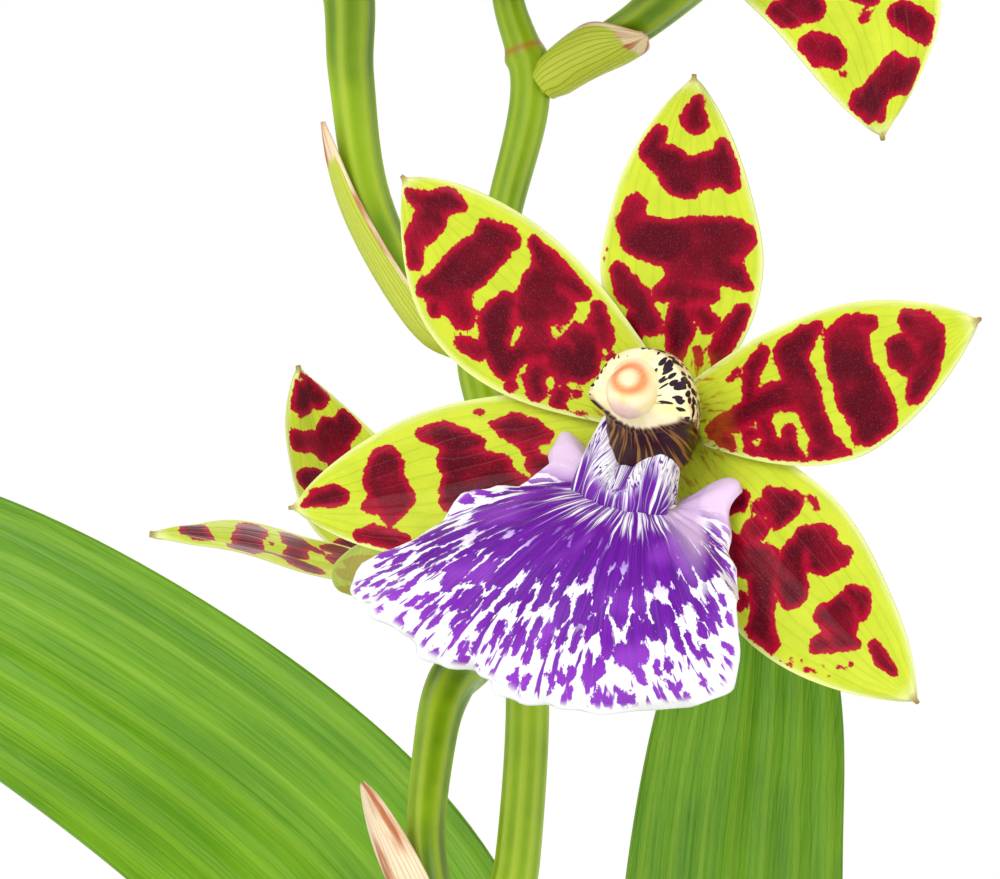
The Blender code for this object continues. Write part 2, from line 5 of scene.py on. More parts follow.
import bpy
import numpy as np
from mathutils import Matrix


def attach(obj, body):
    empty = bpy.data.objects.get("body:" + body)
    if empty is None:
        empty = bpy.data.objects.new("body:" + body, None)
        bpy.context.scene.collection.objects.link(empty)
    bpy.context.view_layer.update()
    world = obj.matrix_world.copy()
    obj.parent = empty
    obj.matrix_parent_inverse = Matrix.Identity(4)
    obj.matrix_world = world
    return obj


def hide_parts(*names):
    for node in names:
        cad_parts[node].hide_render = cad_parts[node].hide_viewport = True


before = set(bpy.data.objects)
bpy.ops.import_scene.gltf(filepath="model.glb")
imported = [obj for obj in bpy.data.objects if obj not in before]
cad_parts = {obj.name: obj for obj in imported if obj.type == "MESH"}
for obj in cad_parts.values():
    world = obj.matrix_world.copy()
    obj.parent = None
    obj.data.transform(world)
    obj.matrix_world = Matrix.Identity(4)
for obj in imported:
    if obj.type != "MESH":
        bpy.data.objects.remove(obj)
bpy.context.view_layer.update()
scene = bpy.context.scene
metre = 0.001
fullTurn = 2.0 * math.pi


# Small sums
def smoothStep(low, high, value):
    # From 0 at low to 1 at high: three times the share squared less twice its cube
    share = np.clip((value - low) / (high - low), 0.0, 1.0)
    return share * share * (3.0 - 2.0 * share)


def bell(offset, width):
    # One at no offset, falling as e to the minus square of offset over width
    return np.exp(-((offset / width) ** 2))


def unit(vectors):
    # Each vector over its own length
    length = np.linalg.norm(vectors, axis=-1, keepdims=True)
    return vectors / np.maximum(length, 1e-9)


def crossed(first, second):
    # Two grids: the first values down the rows, the second across the columns
    return np.meshgrid(first, second, indexing="ij")


def grid(rows, cols, eased=False):
    # Shares 0 to 1 along the rows and -1 to 1 across, by a sine when eased, which is
    # closer at both sides
    across = np.linspace(-1.0, 1.0, cols)
    return crossed(np.linspace(0.0, 1.0, rows), np.sin(0.5 * math.pi * across) if eased else across)


def angles(around):
    # Even angles round a ring, without the last, which is the first again
    return np.linspace(0.0, fullTurn, around, endpoint=False)


def spline(points, count):
    # Catmull-Rom: a cubic through every point, its ends carried on in a straight line
    knots = np.array([points[0], *points, points[-1]], float)
    knots[0] = 2.0 * knots[1] - knots[2]
    knots[-1] = 2.0 * knots[-2] - knots[-3]
    spans = len(points) - 1
    place = np.linspace(0.0, spans, count)
    index = np.minimum(place.astype(int), spans - 1)
    share = (place - index)[:, None]
    p0, p1, p2, p3 = (knots[index + k] for k in range(4))
    return 0.5 * (2.0 * p1 + (p2 - p0) * share + (2.0 * p0 - 5.0 * p1 + 4.0 * p2 - p3) * share**2
                  + (3.0 * p1 - p0 - 3.0 * p2 + p3) * share**3)


def sample(curve, share):
    # Reads a curve of even rows at shares of its length
    place = np.clip(share, 0.0, 1.0) * (len(curve) - 1)
    rows = np.arange(len(curve))
    return np.stack([np.interp(place, rows, column) for column in curve.T], axis=-1)


def wobble(x, y, seed, octaves=3):
    # Smooth noise between about -1 and 1: three sines in seeded directions for each
    # octave, which is twice as fine and half as strong as the one before
    rng = np.random.default_rng(int(seed))
    total = np.zeros(np.broadcast(x, y).shape)
    usualPeak = 3.5
    for octave in range(octaves):
        for _ in range(3):
            angle, phase = rng.uniform(0.0, fullTurn, 2)
            pitch = 2.0**octave * rng.uniform(0.8, 1.3)
            total = total + np.sin(pitch * (x * math.cos(angle) + y * math.sin(angle)) + phase) / 2.0**octave
    return total / usualPeak


def tone(red, green, blue):
    # A screen colour as the linear one that a shader takes
    share = np.array([red, green, blue]) / 255.0
    linear = np.where(share <= 0.04045, share / 12.92, ((share + 0.055) / 1.055) ** 2.4)
    return (*[float(value) for value in linear], 1.0)


# Meshes from whole arrays
def gridFaces(rows, cols, closed=False):
    # Quads of a grid of points kept row by row; closed joins the last column to the first
    r, c = crossed(np.arange(rows - 1), np.arange(cols if closed else cols - 1))
    n = (c + 1) % cols
    return np.stack([r * cols + c, r * cols + n, (r + 1) * cols + n, (r + 1) * cols + c], axis=-1).reshape(-1, 4)


def ringFaces(rings, around):
    # Quads between rings, with triangles that close the first and the last ring on the
    # two points kept after them
    turn = np.arange(around)
    after = (turn + 1) % around
    top = (rings - 1) * around
    foot = np.stack([after, turn, np.full(around, rings * around)], axis=-1)
    head = np.stack([turn + top, after + top, np.full(around, rings * around + 1)], axis=-1)
    return [gridFaces(rings, around, closed=True), foot, head]


def sheetShell(points, thick):
    # Gives a sheet of points two faces, each half the thickness out along its normal,
    # and a strip of quads round the rim, so that it closes
    rows, cols = points.shape[:2]
    normal = unit(np.cross(np.gradient(points, axis=1), np.gradient(points, axis=0)))
    half = 0.5 * thick[..., None] * normal
    count = rows * cols
    top = gridFaces(rows, cols)[:, ::-1]
    rim = np.concatenate([np.arange(cols), np.arange(1, rows) * cols + cols - 1,
                          (rows - 1) * cols + np.arange(cols - 2, -1, -1), np.arange(rows - 2, 0, -1) * cols])
    after = np.roll(rim, -1)
    strip = np.stack([rim, after, after + count, rim + count], axis=-1)
    both = np.vstack([(points + half).reshape(-1, 3), (points - half).reshape(-1, 3)])
    return both, np.vstack([top, top[:, ::-1] + count, strip])


def pathTube(path, radius, around, shape=None):
    # A profile carried along a path: each row is a ring square to the path, its radius
    # times the shape at that share and angle; the two ends close on a point
    tangent = unit(np.gradient(path, axis=0))
    aim = np.array([0.0, 1.0, 0.0]) if abs(tangent[:, 1]).mean() < 0.7 else np.array([1.0, 0.0, 0.0])
    side = unit(np.cross(tangent, aim))
    other = np.cross(side, tangent)
    share, angle = crossed(np.linspace(0.0, 1.0, len(path)), angles(around))
    scale = radius[:, None] * (1.0 if shape is None else shape(share, angle)) + 0.0 * angle
    arm = np.cos(angle)[..., None] * side[:, None] + np.sin(angle)[..., None] * other[:, None]
    ring = path[:, None] + scale[..., None] * arm
    return np.vstack([ring.reshape(-1, 3), path[0], path[-1]]), ringFaces(len(path), around), share, angle


def lathe(profile, around, shape=None):
    # A profile of (radius, height) turned round the Z axis; shape scales the radius by
    # height and angle; the first and the last row stand on the axis
    rows = np.asarray(profile, float)
    height, angle = crossed(rows[1:-1, 1], angles(around))
    radius = rows[1:-1, :1] * (1.0 if shape is None else shape(height, angle))
    ring = np.stack([radius * np.cos(angle), radius * np.sin(angle), height], axis=-1)
    poles = [[0.0, 0.0, rows[0, 1]], [0.0, 0.0, rows[-1, 1]]]
    return np.vstack([ring.reshape(-1, 3), poles]), ringFaces(len(rows) - 2, around)


def facesOut(points, blocks):
    # Whether a closed shell encloses a positive volume, summed over fans of triangles
    volume = 0.0
    for block in blocks:
        for second in range(1, block.shape[1] - 1):
            cross = np.cross(points[block[:, second]], points[block[:, second + 1]])
            volume += np.einsum("ij,ij->", points[block[:, 0]], cross)
    return volume > 0.0


def perPoint(value, count):
    # A stored value for each point. One number serves all; a grid serves both faces of a
    # sheet, or the rings of a tube and then its two poles, at zero unless they're given
    value, poles = value if isinstance(value, tuple) else (value, None)
    value = np.asarray(value, float)
    if value.ndim == 0:
        return np.full(count, float(value))
    if value.ndim > 1:
        value = value.reshape(-1, 3) if value.shape[-1] == 3 else value.ravel()
    if len(value) * 2 == count:
        return np.concatenate([value, value])
    if len(value) + 2 == count:
        return np.concatenate([value, np.zeros((2, *value.shape[1:])) if poles is None else poles])
    return value


class Shell:
    # Closed shells, turned to face outwards, with their stored values, for one piece
    def __init__(self):
        self.points, self.faces, self.values, self.count = [], [], {}, 0

    def add(self, points, faces, **values):
        # Faces are one block or a list of blocks; values are named as they're stored
        blocks = faces if isinstance(faces, list) else [faces]
        if not facesOut(points - points.mean(axis=0), blocks):
            blocks = [block[:, ::-1] for block in blocks]
        self.faces += [face for block in blocks for face in (block + self.count).tolist()]
        self.points.append(points)
        for name, value in values.items():
            self.values.setdefault(name, []).append(perPoint(value, len(points)))
        self.count += len(points)
        return self


def addObject(name, data):
    # Puts a new object at the scene's origin
    item = bpy.data.objects.new(name, data)
    scene.collection.objects.link(item)
    return item


def finishPiece(name, node, shell, material):
    # Makes the mesh with its stored values, in metres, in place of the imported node
    mesh = bpy.data.meshes.new(name)
    mesh.from_pydata((np.vstack(shell.points) * metre).tolist(), [], shell.faces)
    for key, blocks in shell.values.items():
        data = np.concatenate(blocks)
        kind, field = ("FLOAT_VECTOR", "vector") if data.ndim == 2 else ("FLOAT", "value")
        mesh.attributes.new(key, kind, "POINT").data.foreach_set(field, data.ravel())
    mesh.polygons.foreach_set("use_smooth", np.ones(len(mesh.polygons), bool))
    mesh.materials.append(material)
    mesh.update()
    piece = addObject(name, mesh)
    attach(piece, "root")
    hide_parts(node)


# Nodes of shaders
class Wire:
    # An output of a shader node; a sum of wires adds a math node to their tree
    def __init__(self, socket):
        self.socket, self.tree = socket, socket.id_data

    def __add__(self, other):
        return mathNode("ADD", self, other)

    def __sub__(self, other):
        return mathNode("SUBTRACT", self, other)

    def __rsub__(self, other):
        return mathNode("SUBTRACT", other, self)

    def __mul__(self, other):
        return mathNode("MULTIPLY", self, other)


def addNode(tree, kind, inputs, **settings):
    # A node with its settings; an input takes a plain value or the wire that feeds it
    node = tree.nodes.new(kind)
    for key, value in settings.items():
        setattr(node, key, value)
    for key, value in inputs.items():
        if isinstance(value, Wire):
            tree.links.new(value.socket, node.inputs[key])
        else:
            node.inputs[key].default_value = value
    return node


def wireFrom(tree, kind, inputs, output=0, **settings):
    # The wire from one output of a new node
    return Wire(addNode(tree, kind, inputs, **settings).outputs[output])


def mathNode(operation, *terms, clamp=False):
    # One operation on wires and plain numbers
    tree = next(term.tree for term in terms if isinstance(term, Wire))
    return wireFrom(tree, "ShaderNodeMath", dict(enumerate(terms)), operation=operation, use_clamp=clamp)


def ramp(value, low, high, first=0.0, last=1.0):
    # A smooth step from first to last while the value goes from low to high
    inputs = {"Value": value, "From Min": low, "From Max": high, "To Min": first, "To Max": last}
    return wireFrom(value.tree, "ShaderNodeMapRange", inputs, interpolation_type="SMOOTHSTEP")


def over(base, *layers):
    # Lays each (share, colour) over what is below; a colour is a wire or a screen tone
    for share, colour in layers:
        first, second = (paint if isinstance(paint, Wire) else tone(*paint) for paint in (base, colour))
        inputs = {0: share, 6: first, 7: second}
        base = wireFrom(share.tree, "ShaderNodeMix", inputs, 2, data_type="RGBA", clamp_factor=True)
    return base


def scaled(coords, scale):
    # Coordinates and the one scale that a texture takes; a scale for each axis goes into
    # the coordinates
    if not isinstance(scale, tuple):
        return {"Vector": coords, "Scale": scale}
    return {"Vector": wireFrom(coords.tree, "ShaderNodeMapping", {"Vector": coords, "Scale": scale}), "Scale": 1.0}


def noise(coords, scale, detail=2.0, rough=0.5, output="Fac"):
    # Cloudy noise about one half, with its finer detail
    inputs = {**scaled(coords, scale), "Detail": detail, "Roughness": rough}
    return wireFrom(coords.tree, "ShaderNodeTexNoise", inputs, output)


def cells(coords, scale, randomness=1.0, dimensions="2D"):
    # Distance to the nearest of scattered points
    inputs = {**scaled(coords, scale), "Randomness": randomness}
    kind = "ShaderNodeTexVoronoi"
    return wireFrom(coords.tree, kind, inputs, "Distance", voronoi_dimensions=dimensions, feature="F1")


def warp(coords, scale, amount):
    # Coordinates pushed about by a coloured noise times an amount for each axis
    inputs = {0: noise(coords, scale, output="Color"), 1: amount, 2: coords}
    return wireFrom(coords.tree, "ShaderNodeVectorMath", inputs, operation="MULTIPLY_ADD")


def thirdOf(coords):
    # The last of three coordinates
    return wireFrom(coords.tree, "ShaderNodeSeparateXYZ", {0: coords}, "Z")


def stored(tree, *names, output="Fac"):
    # Wires of the values stored on a mesh
    wires = [wireFrom(tree, "ShaderNodeAttribute", {}, output, attribute_name=name) for name in names]
    return wires if len(wires) > 1 else wires[0]


def objectCoords(tree):
    # Places in metres in the shared frame
    return wireFrom(tree, "ShaderNodeTexCoord", {}, "Object")


def bump(height, strength, distance):
    # A normal tilted by the slope of a height, which is times the distance in metres
    inputs = {"Height": height, "Strength": strength, "Distance": distance}
    return wireFrom(height.tree, "ShaderNodeBump", inputs)


def newMaterial(name, look, **constants):
    # A Principled material: constants set its own sockets, and the look gives the wires
    # that feed the rest
    material = bpy.data.materials.new(name)
    material.use_nodes = True
    tree = material.node_tree
    shader = tree.nodes["Principled BSDF"]
    for key, value in constants.items():
        shader.inputs[key.replace("_", " ")].default_value = value
    for key, wire in look(tree).items():
        tree.links.new(wire.socket, shader.inputs[key])
    return material


def newGroup(name, *inputs):
    # A node group: its first input is a vector, all else that goes in or out is a number
    group = bpy.data.node_groups.new(name, "ShaderNodeTree")
    for index, label in enumerate(inputs):
        kind = "NodeSocketFloat" if index else "NodeSocketVector"
        group.interface.new_socket(label, in_out="INPUT", socket_type=kind)
    source = group.nodes.new("NodeGroupInput")
    return group, [Wire(source.outputs[label]) for label in inputs]


def closeGroup(group, **wires):
    # Names the wires that the group puts out
    for label in wires:
        group.interface.new_socket(label, in_out="OUTPUT", socket_type="NodeSocketFloat")
    end = group.nodes.new("NodeGroupOutput")
    for label, wire in wires.items():
        group.links.new(wire.socket, end.inputs[label])


def useGroup(group, coords, **inputs):
    # A group's outputs for some coordinates and numbers
    node = addNode(coords.tree, "ShaderNodeGroup", {0: coords, **inputs}, node_tree=group)
    return [Wire(socket) for socket in node.outputs]


# Fine living grain and a slow patchiness, both values about one half
skinGroup, (coords, cellScale, patchScale) = newGroup("plantSkin", "Coords", "Cells", "Patches")
closeGroup(skinGroup, Grain=noise(coords, cellScale), Patchiness=noise(coords, patchScale, 3.0))


def skin(coords, cellScale, patchScale):
    return useGroup(skinGroup, coords, Cells=cellScale, Patches=patchScale)


# Lines along a blade, from its coordinates (along, across, share across): a cosine of the
# share, which a slow noise pushes about
veinGroup, (blade, count, waver) = newGroup("lengthVeins", "Blade", "Count", "Waver")
place = (noise(blade, (0.10, 0.5, 0.0), 1.0) - 0.5) * waver + thirdOf(blade)
closeGroup(veinGroup, Lines=ramp(mathNode("COSINE", place * count * math.pi), 0.55, 1.0))


def veins(blade, count, waver=0.25):
    return useGroup(veinGroup, blade, Count=count, Waver=waver)[0]


# Tepals
def bladeHalf(u, width, widest, foot, spur=0.98):
    # Half width: a quarter sine from the foot to the widest place, then a taper that
    # ends in a short narrow point
    rise = foot + (1.0 - foot) * np.sin(0.5 * math.pi * np.minimum(u / widest, 1.0))
    past = np.clip((u - widest) / (1.0 - widest), 0.0, 1.0) / spur
    taper = np.clip(1.0 - past**1.9, 0.0, 1.0) ** 0.84
    point = 0.45 - 0.36 * smoothStep(0.94, 1.0, u)
    return np.maximum(0.5 * width * np.where(u < widest, rise, taper), point)


# heading clockwise from the top, length, width, where it is widest, layer, sideways bow
tepals = {
    "dorsal_sepal": (-7.5, 38.8, 18.8, 0.40, 0.0, 0.5),
    "petal_left": (-61.0, 40.6, 17.8, 0.50, 1.3, -2.0),
    "petal_right": (60.0, 39.6, 16.6, 0.50, 1.3, 2.0),
    "lateral_sepal_left": (-117.0, 44.0, 17.6, 0.46, 0.0, -1.4),
    "lateral_sepal_right": (120.0, 44.0, 17.6, 0.46, 0.0, 0.6),
}
tepal = {"rows": 70, "cols": 38, "thick": 0.7, "start": 3.6, "hinge": 14.0, "foot": 0.42, "widest": 0.46, "seed": 100,
         "edgeWave": 0.22, "plainRim": 0.55, "widerTepal": ("right", "lateral_sepal_right"), "widerWidth": 22.5,
         "widerWidest": 0.40, "widerBow": -3.0}

# middle, facing, roll, and each tepal's sweep forward, bend and turn from its usual place
blooms = {
    "main": ((18.7, -27.0, 361.6), (-0.36, -0.93, 0.06), 14.0, {"all": (14.0, -6.0, 0.0)}),
    "right": ((24.5, -22.5, 421.7), (-0.15, -0.60, 0.79), 29.0,
              {"all": (6.0, -6.0, 0.0), "lateral_sepal_right": (6.0, -74.0, -3.0)}),
    "left": ((-26.0, 0.0, 436.0), (-0.20, -0.30, 0.93), 28.0, {"all": (16.0, -10.0, 0.0)}),
    "back": ((-3.6, 30.0, 340.5), (-0.03, -0.24, 0.97), -160.0,
             {"all": (16.0, 40.0, 0.0), "petal_right": (16.0, 0.0, -3.0),
              "lateral_sepal_left": (16.0, 30.0, 10.0), "lateral_sepal_right": (16.0, 64.0, -6.0)}),
}


def bloomAxes(name):
    # Rows are the bloom's right, top and facing: the roll turns right and top clockwise
    middle, facing, roll, _ = blooms[name]
    front = unit(np.array(facing))
    right = unit(np.cross([0.0, 0.0, 1.0], front))
    top = np.cross(front, right)
    cos, sin = math.cos(math.radians(roll)), math.sin(math.radians(roll))
    return np.array(middle), np.array([right * cos - top * sin, right * sin + top * cos, front])


def intoWorld(points, name, scale=1.0):
    # From (right, top, forward) of a bloom to the shared frame
    middle, axes = bloomAxes(name)
    return middle + scale * points @ axes


def tepalLine(rho, length, sweep, bend):
    # Out and up along a tepal: straight at its sweep as far as the hinge, then an even
    # turn by the bend up to the tip
    hinge, start = tepal["hinge"], tepal["start"]
    slope, turn = math.radians(sweep), math.radians(bend if abs(bend) > 0.01 else 0.01)
    near = np.minimum(rho, hinge) - start
    angle = slope + turn * np.maximum(rho - hinge, 0.0) / (length - hinge)
    arc = (length - hinge) / turn
    out = start + near * math.cos(slope) + (np.sin(angle) - math.sin(slope)) * arc
    up = near * math.sin(slope) + (math.cos(slope) - np.cos(angle)) * arc
    return out, up, angle


def tepalSheet(spec, sweep, bend, shift, seed):
    # A blade on a cone about the bloom's facing. Across it: a cup that grows with the
    # square of the distance from the midrib, a groove along the midrib, a rim that rolls
    # back and waves a little
    heading, length, width, widest, layer, bow = spec
    u, v = grid(tepal["rows"], tepal["cols"], eased=True)
    half = bladeHalf(u, width, widest, tepal["foot"]) * (1.0 + 0.03 * wobble(7.0 * u, 2.0 * np.sign(v), seed))
    side = v * half
    across = side + bow * np.sin(math.pi * u)
    along = tepal["start"] + u * (length - tepal["start"])
    rho = np.hypot(along, across)
    out, up, slope = tepalLine(rho, length, sweep, bend)
    turn = math.radians(heading + shift) + np.arctan2(across, along) * rho / out
    groove = 0.5 * smoothStep(0.25, 0.5, u) * bell(side, 1.5)
    rim = 0.5 * smoothStep(0.62, 1.0, np.abs(v)) * smoothStep(0.3, 0.6, u)
    wave = smoothStep(0.2, 0.5, u) * np.abs(v) ** 3 * wobble(9.0 * u, 3.0 * v, seed + 5, 2)
    keel = 0.35 * bell(side, 0.7) * (1.0 - smoothStep(0.05, 0.4, u))
    cup = 0.03 * smoothStep(0.4, 0.8, u) * side**2 - groove - keel - rim + tepal["edgeWave"] * wave
    far = out - cup * np.sin(slope)
    points = np.stack([far * np.sin(turn), far * np.cos(turn), layer + up + cup * np.cos(slope)], axis=-1)
    return points, u, v, along, side, half


def strokeDepth(along, side, strokes):
    # Depth inside a set of strokes, in millimetres: the largest of radius less distance,
    # over strokes given as (along, across, radius) again and again
    farOutside = -9.0
    depth = np.full(along.shape, farOutside)
    for stroke in strokes:
        marks = np.reshape(stroke, (-1, 3))
        for first, second in zip(marks, marks[1:] if len(marks) > 1 else marks):
            span = second - first
            reach = max(float(span[:2] @ span[:2]), 1e-6)
            share = np.clip(((along - first[0]) * span[0] + (side - first[1]) * span[1]) / reach, 0.0, 1.0)
            gap = np.hypot(along - first[0] - share * span[0], side - first[1] - share * span[1])
            depth = np.maximum(depth, first[2] + share * span[2] - gap)
    return depth


def ruledStrokes(length, width, seed):
    # Blotches for a tepal that the photo doesn't show: bars across it that get smaller
    # towards the tip, each broken in one to three, with specks between them
    rng = np.random.default_rng(seed)
    strokes = []
    place = 9.0
    while place < length - 3.0:
        half = float(bladeHalf(np.array(place / length), width, tepal["widest"], tepal["foot"]))
        size = 2.9 * (1.0 - 0.35 * place / length) * rng.uniform(0.8, 1.15)
        room = max(half - size - 0.9, 0.2)
        cuts = rng.permutation([-room, -0.1 * room, room])[: rng.integers(2, 4)]
        for cut in np.sort(cuts):
            turn = rng.uniform(-1.6, 1.6)
            strokes.append((place - turn, cut - rng.uniform(0.6, 1.8), size * 0.75,
                            place + turn, cut + rng.uniform(0.6, 1.8), size * rng.uniform(0.6, 0.9)))
        strokes.append((place + size + 0.9, rng.uniform(-1.0, 1.0) * room, rng.uniform(0.3, 0.6)))
        place += size * 2.0 + rng.uniform(0.9, 1.7)
    return strokes


lime, pale, green, orange = (204, 216, 56), (236, 240, 172), (168, 196, 40), (176, 84, 16)
# The last of these is the colour of a painted sheen, speckled over the blotches as highlights
deepWine, wine, rose, paintedSheenMauve = (86, 0, 18), (134, 0, 30), (178, 0, 42), (150, 50, 80)


def tepalLook(tree):
    # Yellow green with a paler rim and faint veins; wine blotches where the stored depth
    # plus a little grain is above zero, redder at their rims, speckled with a painted mauve
    # sheen, orange brown at the foot
    blade = stored(tree, "blade", output="Vector")
    depth, rim, foot, tip, front = stored(tree, "depth", "rim", "foot", "tip", "front")
    grain, patches = skin(blade, 5.0, 0.35)
    lines = veins(blade, 11.0)
    ragged = noise(blade, (0.8, 1.1, 0.0), 4.0, 0.62)
    inside = depth + (ragged - 0.34) * 1.1
    blotch, core = ramp(inside, -0.05, 0.10), ramp(inside, 0.05, 1.3)
    ground = over(lime, (lines * 0.25, green), (ramp(patches, 0.35, 0.75, 0.0, 0.35), green), (rim * 0.75, pale))
    clouds = ramp(noise(blade, (0.14, 0.2, 0.0)), 0.3, 0.6)
    # The mauve speckles that the grain lays over the blotches are painted sheen: highlights given as colour
    spot = over(rose, (core, wine), (core * clouds, deepWine), (ramp(grain, 0.5, 0.72) * 0.35, paintedSheenMauve),
                (foot * (ramp(ragged, 0.35, 0.6) * 0.45 + 0.3), orange))
    streaks = foot * ramp(noise(blade, (0.5, 1.7, 0.0), 3.0), 0.54, 0.66, 0.0, 0.8)
    rear = over((196, 206, 96), (blotch * 0.42, orange), (lines * 0.35, green))
    colour = over(rear, (front, over(ground, (streaks, orange), (blotch, spot))), (tip * 0.8, (150, 104, 40)))
    return {"Base Color": colour, "Roughness": grain * 0.16 + (blotch * -0.05 + 0.30),
            "Normal": bump(lines * -0.5 + grain * 0.35 + blotch * 0.25, 0.35, 0.0003)}


